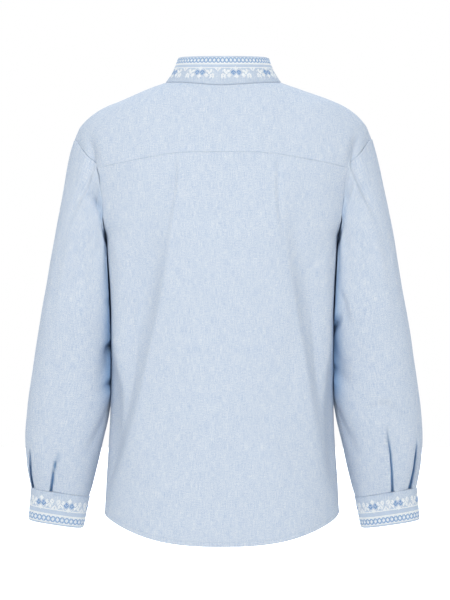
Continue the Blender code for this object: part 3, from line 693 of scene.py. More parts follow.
def hem_z(turn):
    """Height of the hem: lowest in the middle of the back and the front, highest at the sides."""
    lowest = np.where(np.sin(turn) > 0, HEM_BACK_Z, HEM_FRONT_Z)
    share = np.abs(np.cos(turn)) ** (ROUNDNESS * HEM_BEND)
    return lowest + (HEM_SIDE_Z - lowest) * share


def coons(top, bottom, start, end, fade=1.0):
    """A grid between four edges: top and bottom run across, start and end run down."""
    across = np.linspace(0, 1, len(top))[None, :, None]
    down = 1 - np.linspace(1, 0, len(start))[:, None, None] ** fade
    ruled_down = (1 - down) * top[None] + down * bottom[None]
    ruled_across = (1 - across) * start[:, None] + across * end[:, None]
    corners = (
        (1 - down) * (1 - across) * top[0]
        + (1 - down) * across * top[-1]
        + down * (1 - across) * bottom[0]
        + down * across * bottom[-1]
    )
    return ruled_down + ruled_across - corners


def mirrored(half):
    """A left half grid, from the side to the middle, with its mirror image added."""
    other = half[:, -2::-1].copy()
    other[..., 0] = 2 * half[:1, -1:, 0] - other[..., 0]
    return np.concatenate([half, other], axis=1)


def side_seam():
    """The left side seam from the underarm to the hem."""
    return straight((0, ARMHOLE_BOTTOM_Z), (0, HEM_SIDE_Z), SIDE_ROWS)


def back_yoke_edge():
    """The back yoke seam from the left armhole to the middle, as turn and height."""
    corner = armhole(YOKE_BACK_CORNER)
    corner_x, _, corner_z = form(*corner)
    x = strips(0, BACK_HALF_COLUMNS)[::-1] * corner_x / BACK_HALF_COLUMNS
    z = yoke_seam(x, corner_x, corner_z)
    y = BODY.at(z, "back") * (1 - (x / BODY.at(z, "half_width")) ** POWER) ** (1 / POWER)
    edge = on_form(x, y, z)
    edge[0] = corner
    return edge


def neck_front_angle():
    """The plan angle at which the yoke's front seam meets the neck."""
    return math.asin(YOKE_FRONT_Y / NECK_FRONT)


def front_yoke_edge():
    """The yoke's front seam from the neck to the left armhole."""
    start, end = neck(neck_front_angle()), armhole(-YOKE_FRONT_CORNER)
    a, b = form(*start), form(*end)
    t = strips(0, YOKE_ROWS) / YOKE_ROWS
    x, y = a[0] + (b[0] - a[0]) * t, a[1] + (b[1] - a[1]) * t
    edge = on_form(x, y, roof_z(x, y))
    edge[0], edge[-1] = start, end
    return edge


def yoke_grid():
    """The yoke from the neck outwards, from the left front over both shoulders to the right."""
    armhole_edge = armhole(strips(-YOKE_FRONT_CORNER, YOKE_BACK_CORNER))
    outer = np.concatenate([armhole_edge, back_yoke_edge()[1:]])
    front = straight(neck_front_angle(), 0, YOKE_FRONT_CORNER)
    turned = math.radians(SHOULDER_DEGREES)
    shoulder = straight(0, turned, YOKE_BACK_CORNER)[1:]
    back = straight(turned, math.pi / 2, BACK_HALF_COLUMNS)[1:]
    inner = neck(np.concatenate([front, shoulder, back]))
    inner[-1, 0] = math.pi / 2
    middle = straight(inner[-1], outer[-1], YOKE_ROWS)
    return mirrored(coons(inner, outer, front_yoke_edge(), middle))


def back_grid():
    """The back from the yoke seam to the hem, from the left side to the right."""
    steps = strips(YOKE_BACK_CORNER, ARMHOLE_STEPS // 2)
    side = np.concatenate([armhole(steps), side_seam()[1:]])
    top = back_yoke_edge()
    turn = np.linspace(0, math.pi / 2, len(top))
    bottom = np.stack([turn, hem_z(turn)], axis=-1)
    middle = np.linspace(top[-1], bottom[-1], len(side))
    return mirrored(coons(top, bottom, side, middle))


def front_line_turn(x, z):
    """The turn of the upright line at a distance x left of the middle of the front."""
    return -math.pi / 2 + np.arcsin((x / BODY.at(z, "half_width")) ** (1 / ROUNDNESS))


def front_grid():
    """The front from the left side to the right: the middle columns lie over the slit."""
    steps = strips(-YOKE_FRONT_CORNER, -ARMHOLE_STEPS // 2)
    side = np.concatenate([armhole(steps), side_seam()[1:]])
    side[len(steps) - 1, 0] = 0
    neck_start, neck_end = neck_front_angle(), -math.acos(SLIT_HALF / NECK_HALF_WIDTH)
    neck_edge = neck(straight(neck_start, neck_end, NECK_FRONT_COLUMNS))
    top = np.concatenate([front_yoke_edge()[::-1], neck_edge[1:]])
    z = np.linspace(top[-1, 1], HEM_FRONT_Z, len(side))
    slit = np.stack([front_line_turn(SLIT_HALF, z), z], axis=-1)
    slit[-1, 1] = hem_z(slit[-1, 0])
    turn = np.linspace(0, slit[-1, 0], len(top))
    bottom = np.stack([turn, hem_z(turn)], axis=-1)
    half = coons(top, bottom, side, slit, FRONT_FADE)
    inner = half[:, -1]
    middle = np.stack([np.full(len(z), -math.pi / 2), inner[:, 1]], axis=-1)
    over = np.linspace(inner, middle, FINE + 1, axis=1)[:, 1:]
    return mirrored(np.concatenate([half, over], axis=1))


# --- sleeves and cuffs ----------------------------------------------
def ring(centre_x, centre_z, half_x, half_z, middle_y, half_depth, around):
    """A section of a sleeve: around is 0 at its outer edge and a quarter turn at the back."""
    c = np.sign(np.cos(around)) * np.abs(np.cos(around)) ** SECTION_ROUNDNESS
    s = np.sign(np.sin(around)) * np.abs(np.sin(around)) ** SECTION_ROUNDNESS
    return np.stack([centre_x + half_x * c, middle_y + half_depth * s, centre_z + half_z * c], axis=-1)


def sleeve_section(along, around, fuller=0.0):
    """Points round the sleeve at a distance along it, before its folds and pleats."""
    outer_x = SLEEVE.at(along, "outer_x") + fuller * rise(along, 0, FULLER_FROM)
    outer_z = SLEEVE.at(along, "outer_z")
    inner_x, inner_z = SLEEVE.at(along, "inner_x"), SLEEVE.at(along, "inner_z")
    pressed = between(along, PRESSED_ALONG)
    inner_x = inner_x - PRESSED * pressed
    section = ring(
        (outer_x + inner_x) / 2,
        (outer_z + inner_z) / 2,
        (outer_x - inner_x) / 2,
        (outer_z - inner_z) / 2,
        SLEEVE.at(along, "middle_y"),
        SLEEVE.at(along, "half_depth"),
        around,
    )
    section[..., 1] -= SET_FORWARD * pressed * (0.5 - 0.5 * np.cos(around)) ** 1.5
    return section


def cuff_section(share, around, out, fuller):
    """A ring of the cuff, share of the way from the sleeve to the hand, moved out all round."""
    start = {name: SLEEVE.at(SLEEVE_LENGTH, name) for name in CUFF_END}
    now = {name: start[name] + (CUFF_END[name] - start[name]) * share for name in CUFF_END}
    now["outer_x"] = now["outer_x"] + fuller
    middle_y = SLEEVE.at(SLEEVE_LENGTH, "middle_y")
    half_depth = SLEEVE.at(SLEEVE_LENGTH, "half_depth")
    half_x, half_z = (now["outer_x"] - now["inner_x"]) / 2, (now["outer_z"] - now["inner_z"]) / 2
    grow = 1 + out / np.hypot(half_x, half_z)
    return ring(
        (now["outer_x"] + now["inner_x"]) / 2,
        (now["outer_z"] + now["inner_z"]) / 2,
        half_x * grow,
        half_z * grow,
        middle_y + (CUFF_END_MIDDLE_Y - middle_y) * share,
        half_depth + (CUFF_END_HALF_DEPTH - half_depth) * share + out,
        around,
    )


def column_turns(column, side):
    """Where strips lie round the sleeve at the cuff: three of the wall's run down each pleat."""
    known = {ARMHOLE_STEPS // 2: 180.0}
    for pleat in PLEATS[side]:
        for step in (-1, 0, 1):
            known[pleat["column"] + step] = pleat["degrees"] + step * PLEAT_HALF_DEGREES
    columns = sorted(known)
    wrapped = [columns[-1] - ARMHOLE_STEPS] + columns + [columns[0] + ARMHOLE_STEPS]
    degrees = [known[columns[-1]] - 360] + [known[c] for c in columns] + [known[columns[0]] + 360]
    return np.radians(np.interp(column, wrapped, degrees))


def turn_apart(a, b):
    """The signed angle from b to a, within half a turn."""
    return (a - b + math.pi) % (2 * math.pi) - math.pi


def sleeve_fold(along, around, side):
    """How far folds and creases draw the sleeve's cloth in."""
    moved = np.zeros(np.broadcast(along, around).shape)
    for fold in SLEEVE_FOLDS:
        (turn_a, along_a), (turn_b, along_b) = fold["from"], fold["to"]
        t = (along - along_a) / (along_b - along_a)
        off = turn_apart(around, np.radians(turn_a + (turn_b - turn_a) * t))
        here = np.where((t > 0) & (t < 1), np.sin(math.pi * np.clip(t, 0, 1)), 0)
        moved += fold["depth"] * here * np.exp(-((off / math.radians(fold["half_width"])) ** 2))
    radius = SLEEVE.at(along, "half_depth") / MM
    for row in SLEEVE_CREASES:
        if row["sleeve"] not in (0, side):
            continue
        middle = math.radians(row["line"][len(row["line"]) // 2][0])
        a = turn_apart(around, middle) * radius
        chart = [((math.radians(turn) - middle) * radius.mean(), down) for turn, down in row["line"]]
        moved -= crease(a, along / MM + 0 * a, row, chart)
    return moved


# A pleat's slit closes up the sleeve and dies out near its top. A shallow dip lies beside it, and a low
# lip stands along its other side.
PLEAT_CLOSES = 0.55
PLEAT_DIES = (1.0, 0.55)
PLEAT_DIP, PLEAT_DIP_WIDTH = 0.20, 0.009
PLEAT_LIP, PLEAT_LIP_OFF = 0.10, 2.2


def pleated(along, around, side):
    """How far the pleats sink the sleeve's cloth, and how much painted shade each point gets deep in them.
    """
    moved = np.zeros(np.broadcast(along, around).shape)
    hidden = np.zeros_like(moved)
    radius = SLEEVE.at(along, "half_depth")
    for pleat in PLEATS[side]:
        t = np.clip((SLEEVE_LENGTH - along) / pleat["height"], 0, 1)
        off = turn_apart(around, np.radians(pleat["degrees"] + pleat["lean"] * t)) * radius
        off = np.where(pleat["degrees"] < 180, off, -off)
        gape = pleat["gape"] * (1 - PLEAT_CLOSES * t)
        inside = np.exp(-((off / gape) ** 2))
        slit = np.exp(-((off / gape) ** 4)) * rise(t, *PLEAT_DIES)
        dip = PLEAT_DIP * np.where(off > 0, np.exp(-((off / PLEAT_DIP_WIDTH) ** 2)), inside)
        lip = PLEAT_LIP * np.exp(-((off / gape + PLEAT_LIP_OFF) ** 2))
        moved += pleat["depth"] * (slit + (dip - lip) * (1 - t))
        hidden = np.maximum(hidden, inside * rise(t, *PLEAT_DIES))
    return moved, hidden


REACH_ROUNDS = 8


def body_reach(y, z):
    """How far the body reaches to each side at a depth and height, with its fuller corners."""
    z = np.clip(z, HEM_SIDE_Z, ARMHOLE_TOP_Z)
    reach = half_width_at(y, z)
    for _ in range(REACH_ROUNDS):
        reach = (reach + half_width_at(y - corner_fullness(reach, y, z), z)) / 2
    return reach


def clear_of_body(grid):
    """Sleeve points beside the body, moved out where they would come too near it."""
    moved = grid.copy()
    moved[..., 0] = np.maximum(grid[..., 0], body_reach(grid[..., 1], grid[..., 2]) + BODY_CLEARANCE)
    return moved


def fuller_beside_body(grid):
    """Sleeve points behind, moved back where the sleeve turns in to meet the body."""
    y, z = grid[..., 1], grid[..., 2]
    beyond = grid[..., 0] - body_reach(y, z) - BODY_CLEARANCE
    here = near_corner(1 - beyond / SLEEVE_CORNER_REACH) * rise(y, 0, SLEEVE_CORNER_REACH)
    moved = grid.copy()
    moved[..., 1] += SLEEVE_CORNER * here * between(z, SLEEVE_CORNER_LEVELS)
    return moved


def hidden_body(points):
    """The painted shade on each point of the body where it lies out of the light, in the fold beside a
    sleeve.
    """
    z = points[..., 2]
    x = np.abs(points[..., 0] - SWAY * rise(z, 0, SWAY_FULL_Z))
    beside = rise(x / BODY.at(z, "half_width"), PAINTED_SHADE_BODY_FROM, 1)
    return beside * between(z, PAINTED_SHADE_LEVELS) * PAINTED_SHADE_BODY


def hidden_sleeve(grid):
    """The painted shade on each point of a sleeve where it lies out of the light, in the fold beside the
    body.
    """
    z = np.clip(grid[..., 2], HEM_SIDE_Z, ARMHOLE_TOP_Z)
    beyond = grid[..., 0] - half_width_at(grid[..., 1], z) - BODY_CLEARANCE
    return np.exp(-((beyond / PAINTED_SHADE_SLEEVE_REACH) ** 2)) * between(z, PAINTED_SHADE_LEVELS) * PAINTED_SHADE_SLEEVE


def sleeve_grid(side):
    """A sleeve's points, and the painted shade on each where it lies out of the light in a fold or pleat."""
    fuller = RIGHT_SLEEVE_FULLER if side < 0 else 0.0
    column = np.arange(ARMHOLE_STEPS * FINE) / FINE
    even = 2 * math.pi * column / ARMHOLE_STEPS
    edge = armhole(column)
    seam = skin(edge[:, 0], edge[:, 1], SEAM_LIFT)
    from_seam = seam - sleeve_section(0.0, even)
    share = strips(0, SLEEVE_ROWS) / SLEEVE_ROWS
    along = SLEEVE_LENGTH * (share + CLOSER_AT_CUFF * (1 - share - (1 - share) ** 2))[:, None]
    gather = rise(along / SLEEVE_LENGTH, *GATHERED_ALONG)
    around = even + turn_apart(column_turns(column, side), even) * gather
    grid = sleeve_section(along + 0 * around, around, fuller)
    grid = grid + from_seam[None] * rise(along, CAP_LENGTH, 0)[..., None]
    inward = unit(grid.mean(axis=1, keepdims=True) - grid)
    drawn = sleeve_fold(along, around, side) - ripple(grid * (side, 1, 1))
    grid = grid + inward * (drawn * rise(along, 0, CALM_AT_SEAM))[..., None]
    sunk, hidden = pleated(along, around, side)
    grid[..., 1] -= np.sign(np.sin(around)) * sunk
    grid[1:] = clear_of_body(fuller_beside_body(clear_of_body(grid[1:])))
    return swayed(grid * (side, 1, 1)), np.maximum(hidden, hidden_sleeve(grid))


def cuff_grid(side, shares, around):
    """A cuff's points, from its free edge to the sleeve."""
    fuller = RIGHT_SLEEVE_FULLER if side < 0 else 0.0
    grid = cuff_section(shares + 0 * around, around + 0 * shares, CUFF_PROUD, fuller)
    return swayed(grid * (side, 1, 1))


# --- collar ---------------------------------------------------------
def collar_top(angle):
    """A point of the collar's top edge at a plan angle."""
    s = np.sin(angle)
    x = COLLAR_TOP_HALF_WIDTH * np.cos(angle)
    y = np.where(s > 0, COLLAR_TOP_BACK, COLLAR_TOP_FRONT) * s
    end_z = np.where(s > 0, COLLAR_TOP_Z_BACK, COLLAR_TOP_Z_FRONT)
    z = COLLAR_TOP_Z_SIDE + (end_z - COLLAR_TOP_Z_SIDE) * np.abs(s) ** COLLAR_DIP
    return np.stack([x, y, z], axis=-1)


def collar_lap():
    """Half the angle over which the two ends of the collar lie over each other."""
    return COLLAR_CLOSING / 2 / NECK_HALF_WIDTH


def collar_ends():
    """The plan angles at which the collar starts and ends, lapped in the middle of the front."""
    start = -math.pi / 2 - collar_lap()
    return start, start + 2 * math.pi + 2 * collar_lap()


def collar_point(angle, share):
    """A point of the collar band: share 0 on the neck seam and 1 on the top edge."""
    seam = neck(angle)
    foot = skin(seam[..., 0], seam[..., 1], LAY_GAP)
    over = LAPPED_OUT * smooth(1 + (angle - collar_ends()[1] + 2 * collar_lap()) / COLLAR_LAP_RISE)
    point = foot + (collar_top(angle) - foot) * share[..., None]
    lean = np.stack([np.cos(angle), np.sin(angle), 0 * angle], axis=-1)
    hollow = COLLAR_HOLLOW * np.sin(math.pi * share) * np.abs(np.cos(angle)) ** 2
    return point + lean * (over - hollow)[..., None]


# --- making cloth ---------------------------------------------------
def run_down(points):
    """Distance down each column of a grid from its first row."""
    step = np.linalg.norm(np.diff(points, axis=0), axis=-1)
    return np.concatenate([np.zeros((1, points.shape[1])), np.cumsum(step, axis=0)])


def run_along(points):
    """Distance along a line of points from its first."""
    return np.concatenate([[0], np.linalg.norm(np.diff(points, axis=0), axis=-1).cumsum()])


def rows_before(points, distance):
    """The last row in each column that lies less than a distance in from a grid's first row."""
    return np.clip((run_down(points) < distance).sum(axis=0) - 1, 0, len(points) - 2)


def row_at(points, distance):
    """The line that lies a distance in from a grid's first row."""
    run = run_down(points)
    i, j = rows_before(points, distance), np.arange(points.shape[1])
    t = ((distance - run[i, j]) / (run[i + 1, j] - run[i, j]))[:, None]
    return points[i, j] * (1 - t) + points[i + 1, j] * t


def with_rows(points, edge):
    """The grid with rows at the edge's distances put in after its first row."""
    added = [row_at(points, d * MM) for d in edge["in"][1:]]
    run = run_down(points)
    left = int((run.min(axis=1) < (edge["in"][-1] + LEAST_ROW) * MM).sum())
    return np.concatenate([points[:1], np.stack(added), points[left:]])


def row_middle(points):
    """The middle of each row: a tube's outward side is judged from it."""
    return points.mean(axis=1, keepdims=True)


MIDDLE_LINE_TOP_Z = -0.12


def middle_line(points):
    """The upright middle line that a body piece's outward side is judged from."""
    centre = np.zeros_like(points)
    centre[..., 2] = np.minimum(points[..., 2], MIDDLE_LINE_TOP_Z)
    return centre


def normals_of(points, around, centre):
    """Outward normals of a grid, judged from its middle line."""
    if around:
        across = np.roll(points, -1, axis=1) - np.roll(points, 1, axis=1)
    else:
        across = np.gradient(points, axis=1)
    normal = unit(np.cross(across, np.gradient(points, axis=0)))
    return normal * np.sign((normal * (points - centre(points))).sum())


def as_it_is(grid):
    """A grid whose first row is the edge already."""
    return grid


def rows_reversed(grid):
    """A grid with its last row first."""
    return grid[::-1]


def on_its_side(grid):
    """A grid with its columns as rows."""
    return grid.swapaxes(0, 1)


# How a grid is turned so that one of its edges becomes its first row, and how it is turned back.
TURNS = {
    "top": (as_it_is, as_it_is),
    "bottom": (rows_reversed, rows_reversed),
    "first": (on_its_side, on_its_side),
    "last": (lambda grid: on_its_side(grid[:, ::-1]), lambda grid: on_its_side(grid)[:, ::-1]),
}


def edged(points, edges, around, centre):
    """A grid with rows added along its edges, and the cloth shaped there as it is sewn."""
    for name, edge in edges.items():
        turn, turn_back = TURNS[name]
        points = turn_back(with_rows(turn(points), edge))
    lift = np.zeros(points.shape[:2])
    for name, edge in edges.items():
        turn, turn_back = TURNS[name]
        away, run = run_down(turn(points)), run_along(turn(points)[0])
        wave = np.sin(2 * math.pi * run / PUCKER_LENGTH + PUCKER_UNEVEN * np.sin(run / PUCKER_DRIFT))
        wave = wave * np.exp(-((away / PUCKER_REACH) ** 2)) * rise(away, 0, PUCKER_FROM_EDGE)
        lifted = np.interp(away / MM, edge["in"], edge["lift"]) + edge["pucker"] * wave
        lift += turn_back(lifted * MM)
    normal = normals_of(points, around, centre)
    return points + normal * lift[..., None], normal


def drawn_in(points, gap, around):
    """A grid whose open edges are moved back from their seams by a distance."""
    points = points.copy()
    sides = [(points, 0, 1), (points, -1, -2)]
    if not around:
        turned = points.swapaxes(0, 1)
        sides += [(turned, 0, 1), (turned, -1, -2)]
    for grid, edge, inner in sides:
        grid[edge] += gap * unit(grid[inner] - grid[edge])
    return points


def grid_faces(rows, columns, around):
    """The four corners of every face of a grid, closed round on a tube."""
    j = np.arange(columns if around else columns - 1)[None]
    i = np.arange(rows - 1)[:, None]
    k = (j + 1) % columns
    corners = [i * columns + j, i * columns + k, (i + 1) * columns + k, (i + 1) * columns + j]
    return np.stack(np.broadcast_arrays(*corners), axis=-1).reshape(-1, 4)


def mesh_object(name, points, groups, materials, index=None):
    """An object from points and from groups of faces, each with one number of corners."""
    mesh = bpy.data.meshes.new(name)
    mesh.from_pydata(points.tolist(), [], [face for group in groups for face in group.tolist()])
    mesh.shade_smooth()
    for made in materials:
        mesh.materials.append(made)
    if index is not None:
        mesh.polygons.foreach_set("material_index", np.asarray(index, dtype=np.int32))
    return linked(name, mesh)


def linked(name, content):
    """A new object of the scene that holds a mesh, a lamp or a camera."""
    made = bpy.data.objects.new(name, content)
    bpy.context.scene.collection.objects.link(made)
    return made


def store(mesh, name, kind, field, values):
    """Keeps values on a mesh's points for its material to read."""
    stored = mesh.attributes.new(name, kind, "POINT")
    stored.data.foreach_set(field, np.ascontiguousarray(values, dtype=np.float32).ravel())


EDGE_FULLNESS = 0.4  # how far the rounded edge of a wall stands out, in thicknesses


def thin_wall(
    name, points, normals, thickness, place, material, around=False, kept=None, hidden=None
):
    """A closed wall of cloth inwards from a grid, with rounded edges."""
    hidden = np.zeros(points.shape[:2]) if hidden is None else hidden
    rows, columns = points.shape[:2]
    faces = grid_faces(rows, columns, around)
    outer, normal = points.reshape(-1, 3), normals.reshape(-1, 3)
    if kept is not None:
        faces = faces[kept(outer[faces].mean(axis=1))]
    a, b, c = outer[faces[:, 0]], outer[faces[:, 1]], outer[faces[:, 3]]
    if (np.cross(b - a, c - a) * normal[faces[:, 0]]).sum() < 0:
        faces = faces[:, ::-1]
    used, faces = np.unique(faces, return_inverse=True)
    faces = faces.reshape(-1, 4)
    outer, normal, place = outer[used], normal[used], place.reshape(-1, 3)[used]
    hidden = hidden.ravel()[used]
    inner = outer - normal * thickness
    sides = np.concatenate([faces[:, [i, (i + 1) % 4]] for i in range(4)])
    both = np.sort(sides, axis=1)
    _, where, times = np.unique(both, axis=0, return_index=True, return_counts=True)
    rim = sides[where[times == 1]]
    out = np.zeros_like(outer)
    away = np.cross(outer[rim[:, 1]] - outer[rim[:, 0]], normal[rim[:, 0]])
    np.add.at(out, rim[:, 0], away)
    np.add.at(out, rim[:, 1], away)
    edge = np.unique(rim)
    middle = (outer[edge] + inner[edge]) / 2 + unit(out[edge]) * thickness * EDGE_FULLNESS
    count = len(outer)
    number = np.zeros(count, int)
    number[edge] = 2 * count + np.arange(len(edge))
    start, end = rim[:, 0], rim[:, 1]
    upper = np.stack([end, start, number[start], number[end]], axis=1)
    lower = np.stack([number[end], number[start], start + count, end + count], axis=1)
    walls = [faces, faces[:, ::-1] + count, upper, lower]
    made = mesh_object(name, np.concatenate([outer, inner, middle]), walls, [material])
    store(made.data, "cloth_place", "FLOAT_VECTOR", "vector", np.concatenate([place, place, place[edge]]))
    # The painted shade mask rides on the points for the cloth's material, which mixes its colour towards a
    # deeper blue by it.
    store(made.data, "cloth_hidden", "FLOAT", "value", np.concatenate([hidden, hidden, hidden[edge]]))
    return made


# A thread has eight points: its start, three round it near each end, and its end.
THREAD_TIP = 0.18  # the share of a thread that tapers at each end
THREAD_SUNK = 0.1 * MM
TIPS = ((0, 1, 2), (0, 2, 3), (0, 3, 1), (7, 5, 4), (7, 6, 5), (7, 4, 6))
BARS = ((1, 4, 5, 2), (2, 5, 6, 3), (3, 6, 4, 1))


def threads(starts, ends, normals, width, height, sink=THREAD_SUNK):
    """Points and faces of short plump threads, each from a start to an end over the cloth."""
    along = ends - starts
    aside = unit(np.cross(normals, along)) * width / 2
    up, down = normals * height, normals * sink
    rings = []
    for share in (THREAD_TIP, 1 - THREAD_TIP):
        middle = starts + along * share
        rings += [middle + aside - down / 2, middle + up, middle - aside - down / 2]
    points = np.stack([starts - down, *rings, ends - down], axis=1)
    first = (np.arange(len(starts)) * points.shape[1])[:, None, None]
    tips, bars = np.array(TIPS) + first, np.array(BARS) + first
    return points.reshape(-1, 3), tips.reshape(-1, 3), bars.reshape(-1, 4)


def across_from(points, column):
    """Distance along each row of a grid from one of its columns."""
    run = run_down(points.swapaxes(0, 1)).T
    return run - run[:, column : column + 1]


def across_tube(points, girth):
    """How far round a tube each column lies, as cut from flat cloth of one girth."""
    columns = points.shape[1]
    return np.arange(columns) / columns * girth + 0 * points[..., 0]


def across_from_middle(points):
    """Distance across each row of a grid from its middle column."""
    return across_from(points, points.shape[1] // 2)


def flat_place(across, down):
    """Where each point lies in the flat cloth, for its weave."""
    return np.stack([across, down, 0 * across], axis=-1)


def body_place(points):
    """Where a body piece's points lie in the cloth: across from its middle, and their height."""
    return flat_place(across_from_middle(points), points[..., 2])


# --- shader groups and materials ------------------------------------
def join(tree, socket, value):
    """Links a value to a socket, or sets the socket's own value."""
    if isinstance(value, bpy.types.NodeSocket):
        tree.links.new(value, socket)
    else:
        socket.default_value = value


def calc(tree, operation, *values):
    """The outcome of one step of reckoning in a shader."""
    node = tree.nodes.new("ShaderNodeMath")
    node.operation = operation
    for socket, value in zip(node.inputs, values):
        join(tree, socket, value)
    return node.outputs[0]


def scaled(tree, place, size):
    """A place divided by a size in metres along each axis."""
    node = tree.nodes.new("ShaderNodeVectorMath")
    node.operation = "DIVIDE"
    join(tree, node.inputs[0], place)
    join(tree, node.inputs[1], size)
    return node.outputs[0]


def noise(tree, place, detail):
    """Soft unevenness at a place, between 0 and 1."""
    node = tree.nodes.new("ShaderNodeTexNoise")
    node.inputs["Scale"].default_value = 1.0
    node.inputs["Detail"].default_value = detail
    join(tree, node.inputs["Vector"], place)
    return node.outputs["Fac"]


def blended(tree, factor, low, high):
    """A colour between two others."""
    node = tree.nodes.new("ShaderNodeMix")
    node.data_type = "RGBA"
    join(tree, node.inputs["Factor"], factor)
    join(tree, node.inputs["A"], low)
    join(tree, node.inputs["B"], high)
    return node.outputs["Result"]


def new_group(name, inputs, outputs):
    """An empty shader group with named sockets, and its input and output nodes."""
    group = bpy.data.node_groups.new(name, "ShaderNodeTree")
    for label, kind, default in inputs:
        made = group.interface.new_socket(label, in_out="INPUT", socket_type=kind)
        if default is not None:
            made.default_value = default
    for label in outputs:
        group.interface.new_socket(label, in_out="OUTPUT", socket_type="NodeSocketFloat")
    return group, group.nodes.new("NodeGroupInput"), group.nodes.new("NodeGroupOutput")


# Unevenness of the spun threads: its length across and down, and its share of the whole.
SLUBS = ((0.0009, 0.014, 0.34), (0.009, 0.0010, 0.26), (0.0011, 0.0020, 0.32), (0.012, 0.026, 0.08))


def once(kept, name, make):
    """The group or material of a name, made the first time that it is asked for."""
    return kept.get(name) or make(name)


def plain_weave(name):
    """A group for plain-woven cloth: which thread is on top, how high it stands, and its slubs."""
    group, given, put = new_group(
        name,
        (("Place", "NodeSocketVector", None), ("Threads Apart", "NodeSocketFloat", 0.0004)),
        ("Weft On Top", "Height", "Slub"),
    )
    parts = group.nodes.new("ShaderNodeSeparateXYZ")
    join(group, parts.inputs[0], given.outputs["Place"])
    swing = []
    for axis in ("X", "Y"):
        count = calc(group, "DIVIDE", parts.outputs[axis], given.outputs["Threads Apart"])
        swing.append(calc(group, "SINE", calc(group, "MULTIPLY", count, math.pi)))
    both = calc(group, "MULTIPLY", *swing)
    top = calc(group, "MAXIMUM", calc(group, "MULTIPLY_ADD", both, 1.5, 0.5), 0.0)
    join(group, put.inputs["Weft On Top"], calc(group, "MINIMUM", top, 1.0))
    join(group, put.inputs["Height"], calc(group, "SQRT", calc(group, "ABSOLUTE", both)))
    place = given.outputs["Place"]
    slub = 0.0
    for across, down, share in SLUBS:
        found = noise(group, scaled(group, place, (across, down, 1)), detail=2.0)
        slub = calc(group, "MULTIPLY_ADD", found, share, slub)
    join(group, put.inputs["Slub"], slub)
    return group


def spun_fibre(name):
    """A group for spun thread and other fine uneven finishes: tone and height of its fibres."""
    group, given, put = new_group(name, (("Size", "NodeSocketFloat", 0.0004),), ("Tone", "Height"))
    place = group.nodes.new("ShaderNodeTexCoord").outputs["Object"]
    size = group.nodes.new("ShaderNodeCombineXYZ")
    for socket in size.inputs:
        join(group, socket, given.outputs["Size"])
    fine = noise(group, scaled(group, place, size.outputs[0]), detail=3.0)
    wide = noise(group, scaled(group, place, (6 * MM, 6 * MM, 6 * MM)), detail=1.0)
    join(group, put.inputs["Height"], fine)
    tone = calc(group, "MULTIPLY_ADD", fine, 0.6, calc(group, "MULTIPLY", wide, 0.4))
    join(group, put.inputs["Tone"], tone)
    return group


def new_material(name, roughness, sheen, specular):
    """A material with its own constants set, its nodes and its shader."""
    made = bpy.data.materials.new(name)
    made.use_nodes = True
    shader = made.node_tree.nodes["Principled BSDF"]
    shader.inputs["Roughness"].default_value = roughness
    shader.inputs["Sheen Weight"].default_value = sheen
    shader.inputs["Sheen Roughness"].default_value = 0.6
    shader.inputs["Specular IOR Level"].default_value = specular
    return made, made.node_tree, shader


def raised(tree, shader, height, depth, strength):
    """Gives a shader fine relief of a depth in metres."""
    bump = tree.nodes.new("ShaderNodeBump")
    bump.inputs["Strength"].default_value = strength
    bump.inputs["Distance"].default_value = depth
    join(tree, bump.inputs["Height"], height)
    tree.links.new(bump.outputs["Normal"], shader.inputs["Normal"])


def placed(tree, make, **inputs):
    """The outputs of a shader group placed in a material with its own values."""
    node = tree.nodes.new("ShaderNodeGroup")
    node.node_tree = once(bpy.data.node_groups, make.__name__, make)
    for name, value in inputs.items():
        join(tree, node.inputs[name.replace("_", " ").title()], value)
    return node.outputs


def stored(tree, name, output):
    """What was kept on the mesh under a name."""
    node = tree.nodes.new("ShaderNodeAttribute")
    node.attribute_name = name
    return node.outputs[output]


def chambray(name, warp, weft):
    """Blue warp and pale weft, seen as threads close to and as a flecked pale blue from a step away."""
    cloth = bpy.context.scene.shirt_cloth
    made, tree, shader = new_material(name, roughness=0.88, sheen=0.02, specular=0.12)
    place, hidden = stored(tree, "cloth_place", "Vector"), stored(tree, "cloth_hidden", "Fac")
    woven = placed(tree, plain_weave, place=place, threads_apart=cloth.threads_apart)
    shade = calc(tree, "MULTIPLY_ADD", woven["Weft On Top"], 0.5, 0.25 - cloth.slub / 2)
    shade = calc(tree, "MULTIPLY_ADD", woven["Slub"], cloth.slub, shade)
    worn = blended(tree, shade, (*warp, 1), (*weft, 1))
    # Painted shade: where the mesh's shade mask is high, the weave's colour is mixed towards a deeper blue.
    join(tree, shader.inputs["Base Color"], blended(tree, hidden, worn, (*cloth.unfaded, 1)))
    rough = calc(tree, "MULTIPLY_ADD", woven["Slub"], 0.12, 0.82)
    join(tree, shader.inputs["Roughness"], rough)
    height = calc(tree, "MULTIPLY_ADD", woven["Slub"], 1.2, woven["Height"])
    raised(tree, shader, height, depth=0.12 * MM, strength=0.55)
    return made


def clouded(tree, tone, colour, uneven):
    """A colour that is darker by a share where the tone is low."""
    dark = tuple((1 - uneven) * part for part in colour)
    return blended(tree, tone, (*dark, 1), (*colour, 1))


def cotton(name, colour, uneven=0.14):
    """Stranded cotton thread, a little uneven in tone."""
    made, tree, shader = new_material(name, roughness=0.6, sheen=0.25, specular=0.35)
    fibre = placed(tree, spun_fibre, size=0.35 * MM)
    join(tree, shader.inputs["Base Color"], clouded(tree, fibre["Tone"], colour, uneven))
    raised(tree, shader, fibre["Height"], depth=0.1 * MM, strength=0.5)
    return made


